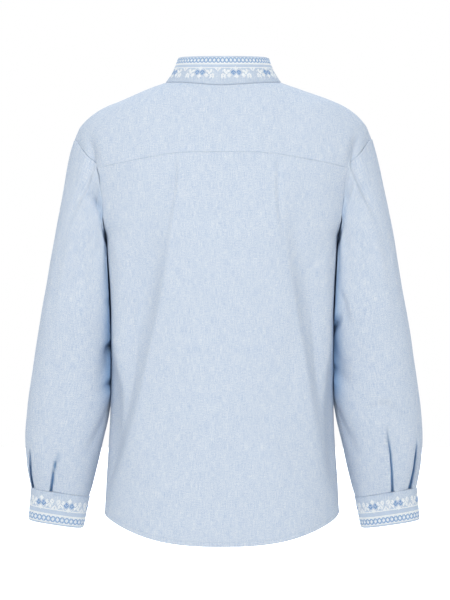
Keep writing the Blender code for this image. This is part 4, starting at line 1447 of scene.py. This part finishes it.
def resin(name, colour):
    """Polished button resin with faint clouds of mother-of-pearl."""
    made, tree, shader = new_material(name, roughness=0.28, sheen=0.0, specular=0.5)
    shader.inputs["Coat Weight"].default_value = 0.3
    fibre = placed(tree, spun_fibre, size=2.2 * MM)
    join(tree, shader.inputs["Base Color"], clouded(tree, fibre["Tone"], colour, 0.2))
    rough = calc(tree, "MULTIPLY_ADD", fibre["Tone"], 0.2, 0.2)
    join(tree, shader.inputs["Roughness"], rough)
    raised(tree, shader, fibre["Height"], depth=0.05 * MM, strength=0.2)
    return made


def finish_of(name):
    """The material of a name, made once."""
    cloth, thread = bpy.context.scene.shirt_cloth, bpy.context.scene.shirt_embroidery
    makers = {
        "shirt_chambray": lambda name: chambray(name, cloth.warp, cloth.weft),
        "band_chambray": lambda name: chambray(name, cloth.band_warp, cloth.band_weft),
        "sewing_cotton": lambda name: cotton(name, bpy.context.scene.shirt_sewing.colour),
        "white_cotton": lambda name: cotton(name, thread.white, 0.04),
        "deep_cotton": lambda name: cotton(name, thread.deep),
        "mid_cotton": lambda name: cotton(name, thread.mid),
        "pale_cotton": lambda name: cotton(name, thread.pale),
        "shirt_button_resin": lambda name: resin(name, cloth.button),
    }
    return once(bpy.data.materials, name, makers[name])


# --- what a user may change -----------------------------------------
def colour_property(name, description, default):
    return FloatVectorProperty(
        name=name, description=description, default=default, subtype="COLOR", size=3, min=0, max=1
    )


def length_property(name, description, default):
    return FloatProperty(
        name=name, description=description, default=default, subtype="DISTANCE", unit="LENGTH", min=0
    )


def light_property(name, description, default, subtype="NONE"):
    return FloatProperty(name=name, description=description, default=default, subtype=subtype, min=0)


class ShirtCloth(PropertyGroup):
    """The cloth and the buttons."""

    thickness: length_property("Cloth Thickness", "A single layer as it is shown", 0.8 * MM)
    band_thickness: length_property("Band Thickness", "The doubled collar and cuffs", 1.7 * MM)
    threads_apart: length_property("Threads Apart", "From one thread of the weave to the next", 0.42 * MM)
    slub: FloatProperty(
        name="Slub", description="How much the threads vary in tone", default=2.4, min=0, max=4
    )
    warp: colour_property("Warp", "Colour of the threads that run down", (0.342, 0.450, 0.625))
    weft: colour_property("Weft", "Colour of the threads that run across", (0.800, 0.818, 0.838))
    band_warp: colour_property("Band Warp", "Warp of the collar and cuffs", (0.318, 0.428, 0.600))
    band_weft: colour_property("Band Weft", "Weft of the collar and cuffs", (0.775, 0.800, 0.828))
    # Painted shade: the deeper blue that the cloth's colour is mixed towards in folds, pleats and beside the
    # sleeves.
    unfaded: colour_property("Unfaded", "Cloth that lies hidden in folds and pleats", (0.17, 0.35, 0.60))
    button: colour_property("Button", "Colour of the buttons", (0.86, 0.89, 0.92))


class ShirtSewing(PropertyGroup):
    """Machine stitching along seams and hems."""

    length: length_property("Stitch Length", "Length of a stitch that shows", 2.1 * MM)
    pitch: length_property("Stitch Pitch", "Distance from one stitch to the next", 2.7 * MM)
    width: length_property("Thread Width", "Width of the sewing thread", 0.42 * MM)
    beside: length_property("Beside a Seam", "Distance of edge stitching from its seam", 1.8 * MM)
    hem: length_property("Hem", "Distance of the hem's stitching from its edge", 5.8 * MM)
    colour: colour_property("Thread", "Colour of the sewing thread", (0.50, 0.61, 0.78))


class ShirtEmbroidery(PropertyGroup):
    """Cross-stitch on the collar and the cuffs."""

    cell: length_property("Stitch Width", "Width of one cross-stitch", 1.34 * MM)
    collar_row: length_property("Collar Row", "Height of a row of crosses on the collar", 1.36 * MM)
    cuff_row: length_property("Cuff Row", "Height of a row of crosses on the cuffs", 1.52 * MM)
    thread: length_property("Thread Width", "Width of a stitch's thread", 1.22 * MM)
    rise: length_property("Rise", "How far a thread stands off the cloth", 0.16 * MM)
    margin: length_property("Margin", "Bare cloth outside the first row", 0.8 * MM)
    white: colour_property("White", "White cotton", (0.98, 0.98, 0.96))
    deep: colour_property("Deep Blue", "Deep blue cotton", (0.03, 0.23, 0.57))
    mid: colour_property("Mid Blue", "Mid blue cotton", (0.20, 0.40, 0.70))
    pale: colour_property("Pale Blue", "Pale blue cotton", (0.60, 0.70, 0.84))


class ShirtStudio(PropertyGroup):
    """The camera, lights and floor."""

    distance: length_property("Camera Distance", "From the camera to the garment's middle plane", 3.3)
    lens: FloatProperty(
        name="Lens", description="Focal length in millimetres", default=132.0, subtype="DISTANCE_CAMERA"
    )
    floor_z: FloatProperty(
        name="Floor Height", description="Height of the floor", default=-1.15, subtype="DISTANCE"
    )
    room: light_property("Room", "Brightness of the white room all round", 0.13)
    ceiling: light_property("Ceiling", "Brightness added overhead", 1.20)
    backdrop: light_property("Backdrop", "Brightness added by the backdrop before the garment", 1.02)
    key: light_property("Key", "Power of the large light behind", 18.6, "POWER")
    fill: light_property("Fill", "Power of the light in front", 0.5, "POWER")
    rim: light_property("Rim", "Power of each light at the sides", 0.5, "POWER")


# --- where seams are sewn -------------------------------------------
# Lines of stitching, by piece and edge: their points and the cloth's outward directions there.
SEWN = {}


def sew(piece, points, normals, edge, distance):
    """Notes a line of stitching at a distance in from one edge of a grid."""
    turn = TURNS[edge][0]
    grid, facing = turn(points), turn(normals)
    at = rows_before(grid, distance), np.arange(grid.shape[1])
    SEWN[piece, edge] = row_at(grid, distance), facing[at]


def sampled(values, run, where):
    """Rows of values read at distances along a line."""
    return np.stack([np.interp(where, run, values[:, axis]) for axis in range(3)], axis=1)


# Where the first stitch of a line starts, in pitches, and how much room the last one has to the line's
# end, in lengths; and a stitch's height as a share of its width.
FIRST_STITCH = 0.6
LAST_STITCH = 1.3
STITCH_HEIGHT = 0.55


def stitches():
    """Threads along every line that was noted."""
    sewing = bpy.context.scene.shirt_sewing
    starts, ends, normals = [], [], []
    for points, facing in SEWN.values():
        run = run_along(points)
        last = run[-1] - sewing.length * LAST_STITCH
        begin = np.arange(sewing.pitch * FIRST_STITCH, last, sewing.pitch)
        starts.append(sampled(points, run, begin))
        ends.append(sampled(points, run, begin + sewing.length))
        normals.append(unit(sampled(facing, run, begin)))
    starts, ends, normals = (np.concatenate(part) for part in (starts, ends, normals))
    return threads(starts, ends, normals, sewing.width, sewing.width * STITCH_HEIGHT)


def fastened(made):
    """Lets a piece ride on the shirt."""
    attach(made, "root")


def cloth_piece(name, points, normals, place, doubled=False, **wall):
    """A finished piece of cloth in place of the solid wall of its name, with the sheet that it was cut as.
    """
    cloth = bpy.context.scene.shirt_cloth
    thickness = cloth.band_thickness if doubled else cloth.thickness
    finish = finish_of("band_chambray" if doubled else "shirt_chambray")
    made = thin_wall(f"{name}_cloth", points, normals, thickness, place, finish, **wall)
    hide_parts(name)
    fastened(made)


def body_piece(name, grid, edges, kept=None):
    """One of the large pieces of the body, and its grid for the stitching."""
    points = drawn_in(swayed(skin(grid[..., 0], grid[..., 1])), SEAM_GAP / 2, False)
    points, normals = edged(points, edges, False, middle_line)
    cloth_piece(name, points, normals, body_place(points), kept=kept, hidden=hidden_body(points))
    return name, points, normals


def beside_slit(middle):
    """Whether each place of the front lies outside its slit, which is left open."""
    return ~((np.abs(middle[:, 0] - SWAY) < SLIT_HALF) & (middle[:, 2] > SLIT_END_Z))


class SHIRT_OT_body(Operator):
    """Make the yoke, the back and the front"""

    bl_idname = "shirt.body"
    bl_label = "Yoke, Back and Front"

    def execute(self, context):
        sewing = context.scene.shirt_sewing
        seams = dict.fromkeys(TURNS, SEAM_EDGE)
        hemmed = dict(seams, bottom=HEM_EDGE)
        yoke = body_piece("yoke", yoke_grid(), seams)
        sew(*yoke, "bottom", sewing.beside)
        back = body_piece("back", back_grid(), hemmed)
        front = body_piece("front", front_grid(), hemmed, beside_slit)
        for panel in (back, front):
            sew(*panel, "bottom", sewing.hem)
            sew(*panel, "first", sewing.beside)
            sew(*panel, "last", sewing.beside)
        return {"FINISHED"}


class SHIRT_OT_sleeves(Operator):
    """Make both sleeves"""

    bl_idname = "shirt.sleeves"
    bl_label = "Sleeves"

    def execute(self, context):
        for side, word in ((1, "left"), (-1, "right")):
            name = f"sleeve_{word}"
            grid, hidden = sleeve_grid(side)
            edges = {"top": SEAM_EDGE, "bottom": SEAM_EDGE}
            points, normals = edged(drawn_in(grid, SEAM_GAP, True), edges, True, row_middle)
            # The edges add a few rows at each end, which get the same painted shade as the rows next to
            # them.
            rows = np.arange(len(points)) - (len(points) - len(grid)) // 2
            hidden = hidden[np.clip(rows, 0, len(grid) - 1)]
            run = run_down(points).mean(axis=1)[:, None] + 0 * points[..., 0]
            place = flat_place(across_tube(points, SLEEVE_GIRTH), run)
            cloth_piece(name, points, normals, place, around=True, hidden=hidden)
            self.sew_underarm(name, points, normals)
        return {"FINISHED"}

    def sew_underarm(self, name, points, normals):
        """Stitching on both sides of the seam that runs down under the arm."""
        seam = ARMHOLE_STEPS // 2 * FINE
        clear = UNDERARM_ROWS_CLEAR
        for column in (seam - 1, seam + 1):
            SEWN[name, column] = points[clear:-clear, column], normals[clear:-clear, column]


# --- collar, cuffs and their cross-stitch ---------------------------
def stamp(chart, motif, column, row):
    """Puts a motif into a chart, centred on a column, with its first line on a row."""
    width = len(chart[0])
    start = column - len(motif[0]) // 2
    for i, letters in enumerate(motif):
        for j, letter in enumerate(letters):
            if letter != ".":
                chart[row + i][(start + j) % width] = letter


def chart_of(width, edge, stripes, flower, flower_at):
    """One repeat of the border, from the band's free edge inwards."""
    levels = edge + "o" * len(LINK) + "oo" + "s" * stripes + "lol" + "." * len(FLOWER)
    chart = [[letter] * width for letter in levels]
    for column in range(0, width, LINKS_APART):
        stamp(chart, LINK, column, len(edge))
    row = len(edge) + len(LINK) + 2 + stripes
    stamp(chart, CROWN, 0, row)
    stamp(chart, DAG, width // 2, row + 1)
    for side in (-1, 1):
        stamp(chart, ROSEBUD, 3 * side, row + 4)
        stamp(chart, [letters[::side] for letters in STEM], 6 * side, row + 2)
        stamp(chart, [letters[::side] for letters in flower], flower_at * side, row + 3)
    stamp(chart, SEED, 0, row + 9)
    return chart


def read_between(grid, row, column):
    """A grid read at fractional rows and columns."""
    i = np.clip(np.floor(row).astype(int), 0, grid.shape[0] - 2)
    j = np.clip(np.floor(column).astype(int), 0, grid.shape[1] - 2)
    s, t = (row - i)[..., None], (column - j)[..., None]
    upper = grid[i, j] * (1 - t) + grid[i, j + 1] * t
    lower = grid[i + 1, j] * (1 - t) + grid[i + 1, j + 1] * t
    return upper * (1 - s) + lower * s


# The cotton that each letter of a chart is worked in, and its two strokes across and down a stitch.
COTTONS = {
    "o": "white_cotton",
    "d": "deep_cotton",
    "b": "mid_cotton",
    "l": "pale_cotton",
    "s": "pale_cotton",
}
CROSS = (((0.08, 0.08), (0.92, 0.92)), ((0.08, 0.92), (0.92, 0.08)))
LEVEL_PAIR = (((0.0, 0.3), (1.0, 0.3)), ((0.0, 0.75), (1.0, 0.75)))
STITCH_SUNK = 0.15 * MM
OVER = 0.5  # how much further the second stroke stands off the cloth


def embroider(name, points, normals, chart, start, cell, row_height, count):
    """Cross-stitches on a band whose first row of points is its free edge."""
    sewing = bpy.context.scene.shirt_embroidery
    run = across_from(points, 0)[len(points) // 2]
    height = run_down(points)[-1]
    column = np.arange(count)
    number = np.round((column * cell - start) / cell).astype(int) % len(chart[0])
    names = sorted(set(COTTONS.values()))

    def on_band(across, down):
        at = np.interp(across * cell, run, np.arange(len(run)))
        share = (sewing.margin + down * row_height) / np.interp(at, np.arange(len(height)), height)
        return share * (len(points) - 1), at

    kept, index = [], []
    for i, letters in enumerate(chart):
        here = np.array(letters)[number]
        for letter, shade in COTTONS.items():
            chosen = column[here == letter]
            for over, stroke in enumerate(LEVEL_PAIR if letter == "s" else CROSS):
                ends = [on_band(chosen + across, i + down) for across, down in stroke]
                middle = [(a + b) / 2 for a, b in zip(*ends)]
                rise_here = np.full(len(chosen), sewing.rise * (1 + OVER * over))
                kept.append(
                    (
                        read_between(points, *ends[0]),
                        read_between(points, *ends[1]),
                        read_between(normals, *middle),
                        rise_here,
                    )
                )
                index.append(np.full(len(chosen), names.index(shade)))
    starts, ends, facing, height = (np.concatenate(part) for part in zip(*kept))
    height = height[:, None]
    made, tips, bars = threads(starts, ends, unit(facing), sewing.thread, height, STITCH_SUNK)
    index = np.concatenate(index)
    of_faces = np.concatenate([np.repeat(index, len(TIPS)), np.repeat(index, len(BARS))])
    cottons = [finish_of(shade) for shade in names]
    fastened(mesh_object(name, made, [tips, bars], cottons, of_faces))


BAND_ROWS = 25
COLLAR_COLUMNS = 361
CUFF_COLUMNS = 192

# One repeat of the border on the collar and on the cuffs: how many stitches wide, the rows at its free
# edge, its level stripes, its flowers and their place; and where a repeat starts beside the middle of
# the back, in metres.
COLLAR_CHART = (40, "l", 2, FLOWER, 11)
CUFF_CHART = (30, "lo", 3, SMALL_FLOWER, 9)
COLLAR_CHART_START = 0.0180
CUFF_CHART_START = {"left": 0.0174, "right": -0.0143}


class SHIRT_OT_collar(Operator):
    """Make the collar and its cross-stitch"""

    bl_idname = "shirt.collar"
    bl_label = "Collar"

    def execute(self, context):
        thread = context.scene.shirt_embroidery
        angle = np.linspace(*collar_ends(), COLLAR_COLUMNS)[None]
        share = np.linspace(1, 0, BAND_ROWS)[:, None]
        grid = swayed(collar_point(angle + 0 * share, share + 0 * angle))
        edges = dict(dict.fromkeys(TURNS, FREE_EDGE), bottom=SEAM_EDGE)
        points, normals = edged(drawn_in(grid, SEAM_GAP, False), edges, False, row_middle)
        place = flat_place(across_from_middle(points), -run_down(points))
        cloth_piece("collar", points, normals, place, doubled=True)
        sew("collar", points, normals, "bottom", context.scene.shirt_sewing.beside)
        facing = normals_of(grid, False, row_middle)
        run = across_from(grid, 0)[BAND_ROWS // 2]
        start = np.interp(math.pi / 2, angle[0], run) + COLLAR_CHART_START
        chart, count = chart_of(*COLLAR_CHART), int(run[-1] / thread.cell)
        embroider(
            "collar_embroidery", grid, facing, chart, start, thread.cell, thread.collar_row, count
        )
        return {"FINISHED"}


class SHIRT_OT_cuffs(Operator):
    """Make both cuffs and their cross-stitch"""

    bl_idname = "shirt.cuffs"
    bl_label = "Cuffs"

    def execute(self, context):
        for side, word in ((1, "left"), (-1, "right")):
            self.make(context.scene, side, word)
        return {"FINISHED"}

    def make(self, scene, side, word):
        name, thread = f"cuff_{word}", scene.shirt_embroidery
        around = np.linspace(0, 2 * math.pi, CUFF_COLUMNS, endpoint=False)[None]
        share = np.linspace(1, 0, BAND_ROWS)[:, None]
        grid = cuff_grid(side, share, around)
        edges = {"top": FREE_EDGE, "bottom": SEAM_EDGE}
        points, normals = edged(drawn_in(grid, SEAM_GAP, True), edges, True, row_middle)
        place = flat_place(across_tube(points, CUFF_GIRTH), -run_down(points))
        cloth_piece(name, points, normals, place, doubled=True, around=True)
        sew(name, points, normals, "bottom", scene.shirt_sewing.beside)
        facing = normals_of(grid, True, row_middle)
        grid, facing = (np.concatenate([part, part[:, :1]], axis=1) for part in (grid, facing))
        run = across_from(grid, 0)[BAND_ROWS // 2]
        start = np.interp(math.pi / 2, np.append(around[0], 2 * math.pi), run) + CUFF_CHART_START[word]
        repeat = CUFF_CHART[0]
        count = repeat * round(run[-1] / thread.cell / repeat)
        chart, cell = chart_of(*CUFF_CHART), run[-1] / count
        embroider(f"{name}_embroidery", grid, facing, chart, start, cell, thread.cuff_row, count)


# --- placket and buttons --------------------------------------------
def placket_face(x, z, out):
    """Points of an upright band on the middle of the front, moved out from the body's face."""
    turn = front_line_turn(np.abs(x), z)
    turn = np.where(x >= 0, turn, -math.pi - turn)
    return swayed(skin(turn, z + 0 * x, out))


def placket_top(out):
    """The height at which a band that lies a distance out from the body passes under the collar."""
    return form(*neck(-math.pi / 2))[2] - LAY_GAP - out * COLLAR_FOOT_SLOPE


PLACKET_COLUMNS = 15
PLACKET_ROWS = 81


class SHIRT_OT_placket(Operator):
    """Make the two bands that close the front"""

    bl_idname = "shirt.placket"
    bl_label = "Placket"

    def execute(self, context):
        x = np.linspace(PLACKET_HALF, -PLACKET_HALF, PLACKET_COLUMNS)[None]
        edges = dict.fromkeys(TURNS, FREE_EDGE)
        for layer, name in ((1, "placket_under"), (2, "placket_outer")):
            out = layer * (CLOTH + LAY_GAP)
            z = np.linspace(placket_top(out), PLACKET_END_Z, PLACKET_ROWS)[:, None]
            grid = placket_face(x + 0 * z, z + 0 * x, out)
            points, normals = edged(grid, edges, False, middle_line)
            cloth_piece(name, points, normals, body_place(points))
        # Only the outer band's stitching shows.
        for edge in ("first", "last", "bottom"):
            sew(name, points, normals, edge, context.scene.shirt_sewing.beside)
        return {"FINISHED"}


def button_places():
    """Each button by name: its back's centre, its outward direction, and its buttonhole's in (x, up)."""
    out = 2 * (CLOTH + LAY_GAP)
    top = placket_top(out) - BUTTON_FROM_END
    end = PLACKET_END_Z + BUTTON_FROM_END * 2
    places = {}
    for number, z in enumerate(np.linspace(top, end, PLACKET_BUTTONS), start=1):
        upper, lower = placket_face(np.zeros(2), np.array([z, z - BUTTON_REST]), out)
        down = lower - upper
        places[f"button_{number}"] = (upper, np.array([0, down[2], -down[1]]), (0, 1))
    lower, upper = collar_point(np.full(2, 1.5 * math.pi), np.array(COLLAR_BUTTON_SHARES))
    up = upper - lower
    places["button_collar"] = ((lower + upper) / 2, np.array([0, -up[2], up[1]]), (1, 0))
    return places


def turned_profile(profile, steps):
    """A closed mesh turned round the Z axis from its (radius, height) profile."""
    shape = bmesh.new()
    turns = [2 * math.pi * k / steps for k in range(steps)]
    rings = [
        [shape.verts.new((radius * math.cos(turn), radius * math.sin(turn), height)) for turn in turns]
        for radius, height in profile
    ]
    for lower, upper in zip(rings, rings[1:]):
        for k in range(steps):
            m = (k + 1) % steps
            shape.faces.new((lower[k], lower[m], upper[m], upper[k]))
    shape.faces.new(rings[0][::-1])
    shape.faces.new(rings[-1])
    mesh = bpy.data.meshes.new("turned")
    shape.to_mesh(mesh)
    shape.free()
    return mesh


# The button's outline as shares of its radius and thickness, from its back over the rim to its hollow.
BUTTON_PROFILE = (
    (0.55, 0),
    (0.85, 0.10),
    (0.97, 0.30),
    (1, 0.55),
    (0.97, 0.80),
    (0.90, 0.96),
    (0.82, 1),
    (0.74, 0.94),
    (0.66, 0.78),
    (0.3, 0.70),
)
BUTTON_STEPS = 40
HOLE_STEPS = 12
HOLE_RADIUS = 0.14 * BUTTON_RADIUS
HOLE_OFF = 0.21 * BUTTON_RADIUS
SHARP_DEGREES = 38
THREAD_IN_HOLES = {"off": 0.05 * BUTTON_RADIUS, "half": 0.25 * BUTTON_RADIUS, "width": 0.45 * MM}
THREAD_UP = 0.76 * BUTTON_THICKNESS
BUTTON_THREAD_HEIGHT = 0.22 * MM
BAR_WIDTH = 0.5 * MM
BAR_LIFT = 0.08 * MM - LAY_GAP


def button_mesh():
    """A four-hole button with a raised rim, its back on the XY plane."""
    profile = [(across * BUTTON_RADIUS, up * BUTTON_THICKNESS) for across, up in BUTTON_PROFILE]
    body = linked("button_blank", turned_profile(profile, BUTTON_STEPS))
    through = ((HOLE_RADIUS, -BUTTON_THICKNESS), (HOLE_RADIUS, 2 * BUTTON_THICKNESS))
    drills = []
    for x, y in ((1, 1), (-1, 1), (-1, -1), (1, -1)):
        drill = linked("drill", turned_profile(through, HOLE_STEPS))
        drill.location = (HOLE_OFF * x, HOLE_OFF * y, 0)
        drills.append(drill)
        cut = body.modifiers.new("hole", "BOOLEAN")
        cut.operation = "DIFFERENCE"
        cut.object = drill
    found = body.evaluated_get(bpy.context.evaluated_depsgraph_get())
    mesh = bpy.data.meshes.new_from_object(found)
    if len(mesh.polygons) <= len(body.data.polygons):
        raise RuntimeError("the button's holes were not cut")
    for left in [body] + drills:
        bpy.data.objects.remove(left, do_unlink=True)
    return mesh


def buttonhole_bar(share):
    """Where one bar of the buttonhole's edge starts and ends, along the slit and across it."""
    straight_run = 4 * BUTTONHOLE_HALF
    total = straight_run + 2 * math.pi * BUTTONHOLE_OUTER
    run = share * total
    if run < straight_run:
        side = 1 if run < 2 * BUTTONHOLE_HALF else -1
        middle, spread = (run % (2 * BUTTONHOLE_HALF) - BUTTONHOLE_HALF) * side, (0, side)
    else:
        turn = (run - straight_run) / (total - straight_run) * 2 * math.pi
        spread = (math.cos(turn), math.sin(turn))
        middle = math.copysign(BUTTONHOLE_HALF, spread[0])
    return [(middle + spread[0] * off, spread[1] * off) for off in (BUTTONHOLE_INNER, BUTTONHOLE_OUTER)]


def button_threads(along):
    """Starts, ends, directions and widths of a button's threads and its buttonhole's bars, from its back."""
    local = []
    held = THREAD_IN_HOLES
    for x in (-HOLE_OFF, HOLE_OFF):
        for off in (-held["off"], held["off"]):
            start, end = ((x + off, y, THREAD_UP) for y in (-held["half"], held["half"]))
            local.append((start, end, (0, 0, 1), held["width"]))
    (a, b), (c, d) = along, along[::-1]
    for k in range(BUTTONHOLE_BARS):
        ends = buttonhole_bar(k / BUTTONHOLE_BARS)
        start, end = ((u * a + v * c, u * b + v * d, BAR_LIFT) for u, v in ends)
        local.append((start, end, (0, 0, 1), BAR_WIDTH))
    return [np.array(part, float) for part in zip(*local)]


class SHIRT_OT_buttons(Operator):
    """Make the buttons, the thread that holds them, and their buttonholes"""

    bl_idname = "shirt.buttons"
    bl_label = "Buttons"

    def execute(self, context):
        blank = button_mesh()
        for name, (centre, outward, along) in button_places().items():
            outward = Vector(unit(outward))
            side = Vector((1, 0, 0))
            turn = Matrix((side, outward.cross(side), outward)).transposed()
            base = Vector(centre) + outward * LAY_GAP
            mesh = blank.copy()
            mesh.transform(Matrix.Translation(base) @ turn.to_4x4())
            mesh.materials.append(finish_of("shirt_button_resin"))
            mesh.set_sharp_from_angle(angle=math.radians(SHARP_DEGREES))
            made = linked(f"{name}_resin", mesh)
            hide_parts(name)
            fastened(made)
            starts, ends, normals, width = button_threads(along)
            matrix = np.array(turn)
            starts, ends = (part @ matrix.T + np.array(base) for part in (starts, ends))
            facing = normals @ matrix.T
            points, tips, bars = threads(starts, ends, facing, width[:, None], BUTTON_THREAD_HEIGHT)
            cotton_on = [finish_of("sewing_cotton")]
            fastened(mesh_object(f"{name}_thread", points, [tips, bars], cotton_on))
        return {"FINISHED"}


class SHIRT_OT_sewing(Operator):
    """Sew the noted seams and hems with visible stitches"""

    bl_idname = "shirt.sewing"
    bl_label = "Stitching"

    def execute(self, context):
        if not SEWN:
            raise RuntimeError("no seam has been made yet")
        points, tips, bars = stitches()
        made = mesh_object("seam_stitching", points, [tips, bars], [finish_of("sewing_cotton")])
        fastened(made)
        return {"FINISHED"}


# --- studio ---------------------------------------------------------
CAMERA_X, CAMERA_Z = -0.00225, -0.327
SENSOR_WIDTH = 36
FLOOR_RADIUS = 9
FLOOR_DARK, FLOOR_LIGHT = (0.78, 0.78, 0.78, 1), (0.82, 0.82, 0.82, 1)
ROOM_TINT, WHITE = (0.905, 0.955, 1, 1), (1, 1, 1, 1)
LIT_MIDDLE = (0, 0, -0.30)

# The soft lights: the setting that holds each one's power, its place, its size in metres and its colour.
LIGHTS = {
    "key": ("key", (0.15, 2.0, 0.35), 1.0, (1.0, 0.975, 0.925)),
    "fill": ("fill", (-0.8, -3.0, 0.7), 2.4, (1, 1, 1)),
    "rim_1": ("rim", (-2.1, 1.2, 0.0), 1.6, (1, 1, 1)),
    "rim_3": ("rim", (2.1, 1.2, 0.0), 1.6, (1, 1, 1)),
}


def soft_light(name, power, place, size, colour):
    """A square light that faces the garment's middle."""
    lamp = bpy.data.lights.new(name, "AREA")
    lamp.shape = "SQUARE"
    lamp.size = size
    lamp.energy = power
    lamp.color = colour
    made = linked(name, lamp)
    made.location = place
    made.rotation_euler = (Vector(LIT_MIDDLE) - Vector(place)).to_track_quat("-Z", "Y").to_euler()


def camera_ray(tree):
    """1 for what the camera sees and 0 for what only lights the garment."""
    return tree.nodes.new("ShaderNodeLightPath").outputs["Is Camera Ray"]


class SHIRT_OT_stage(Operator):
    """Set up the camera, the white floor and the soft light"""

    bl_idname = "shirt.stage"
    bl_label = "Studio"

    def execute(self, context):
        studio = context.scene.shirt_studio
        self.place_camera(context.scene, studio)
        self.lay_floor(studio)
        self.surround(context.scene, studio)
        for name, (power, *lamp) in LIGHTS.items():
            soft_light(name, getattr(studio, power), *lamp)
        return {"FINISHED"}

    def place_camera(self, scene, studio):
        lens = bpy.data.cameras.new("camera")
        lens.lens = studio.lens
        lens.sensor_width = SENSOR_WIDTH
        lens.clip_end = 100
        camera = linked("camera", lens)
        camera.location = (CAMERA_X, studio.distance, CAMERA_Z)
        camera.rotation_euler = (math.radians(90), 0, math.radians(180))
        scene.camera = camera
        scene.view_settings.view_transform = "Standard"

    def lay_floor(self, studio):
        """A round white floor, which the camera sees as white all over."""
        bpy.ops.mesh.primitive_circle_add(
            vertices=96, radius=FLOOR_RADIUS, fill_type="NGON", location=(0, 0, studio.floor_z)
        )
        floor = bpy.context.object
        floor.name = "studio_floor"
        made, tree, shader = new_material("studio_floor", roughness=0.9, sheen=0.0, specular=0.1)
        fibre = placed(tree, spun_fibre, size=0.02)
        join(tree, shader.inputs["Base Color"], blended(tree, fibre["Tone"], FLOOR_DARK, FLOOR_LIGHT))
        shader.inputs["Emission Color"].default_value = WHITE
        join(tree, shader.inputs["Emission Strength"], camera_ray(tree))
        floor.data.materials.append(made)

    def surround(self, scene, studio):
        """A white room: pure white behind the garment, softer as a light on it."""
        world = bpy.data.worlds.new("white_room")
        scene.world = world
        world.use_nodes = True
        tree = world.node_tree
        background, seen = tree.nodes["Background"], camera_ray(tree)
        join(tree, background.inputs["Color"], blended(tree, seen, ROOM_TINT, WHITE))
        parts = tree.nodes.new("ShaderNodeSeparateXYZ")
        join(tree, parts.inputs[0], tree.nodes.new("ShaderNodeTexCoord").outputs["Generated"])
        above = calc(tree, "MAXIMUM", parts.outputs["Z"], 0.0)
        ahead = calc(tree, "MAXIMUM", calc(tree, "MULTIPLY", parts.outputs["Y"], -1.0), 0.0)
        lit = calc(tree, "MULTIPLY_ADD", above, studio.ceiling, studio.room)
        lit = calc(tree, "MULTIPLY_ADD", ahead, studio.backdrop, lit)
        unseen = calc(tree, "MULTIPLY", lit, calc(tree, "SUBTRACT", 1.0, seen))
        join(tree, background.inputs["Strength"], calc(tree, "MAXIMUM", seen, unseen))


class SHIRT_PT_panel(Panel):
    """Lists the shirt's settings and makers"""

    bl_label = "Vyshyvanka Shirt"
    bl_idname = "SHIRT_PT_panel"
    bl_space_type = "VIEW_3D"
    bl_region_type = "UI"
    bl_category = "Shirt"

    def draw(self, context):
        for group in GROUPS:
            column = self.layout.box().column()
            column.label(text=group.replace("_", " ").title())
            settings = getattr(context.scene, group)
            for name in settings.__annotations__:
                column.prop(settings, name)
        for maker in MAKERS:
            self.layout.operator(maker.bl_idname)


GROUPS = {
    "shirt_cloth": ShirtCloth,
    "shirt_sewing": ShirtSewing,
    "shirt_embroidery": ShirtEmbroidery,
    "shirt_studio": ShirtStudio,
}
MAKERS = (
    SHIRT_OT_stage,
    SHIRT_OT_body,
    SHIRT_OT_sleeves,
    SHIRT_OT_collar,
    SHIRT_OT_cuffs,
    SHIRT_OT_placket,
    SHIRT_OT_buttons,
    SHIRT_OT_sewing,
)


def register():
    for made in (*GROUPS.values(), *MAKERS, SHIRT_PT_panel):
        bpy.utils.register_class(made)
    for name, group in GROUPS.items():
        setattr(bpy.types.Scene, name, PointerProperty(type=group))


def unregister():
    for name in GROUPS:
        delattr(bpy.types.Scene, name)
    for made in (SHIRT_PT_panel, *reversed(MAKERS), *reversed(GROUPS.values())):
        bpy.utils.unregister_class(made)


def main():
    register()
    bpy.ops.shirt.stage()
    bpy.ops.shirt.body()
    bpy.ops.shirt.sleeves()
    bpy.ops.shirt.collar()
    bpy.ops.shirt.cuffs()
    bpy.ops.shirt.placket()
    bpy.ops.shirt.buttons()
    bpy.ops.shirt.sewing()


if __name__ == "__main__":
    main()
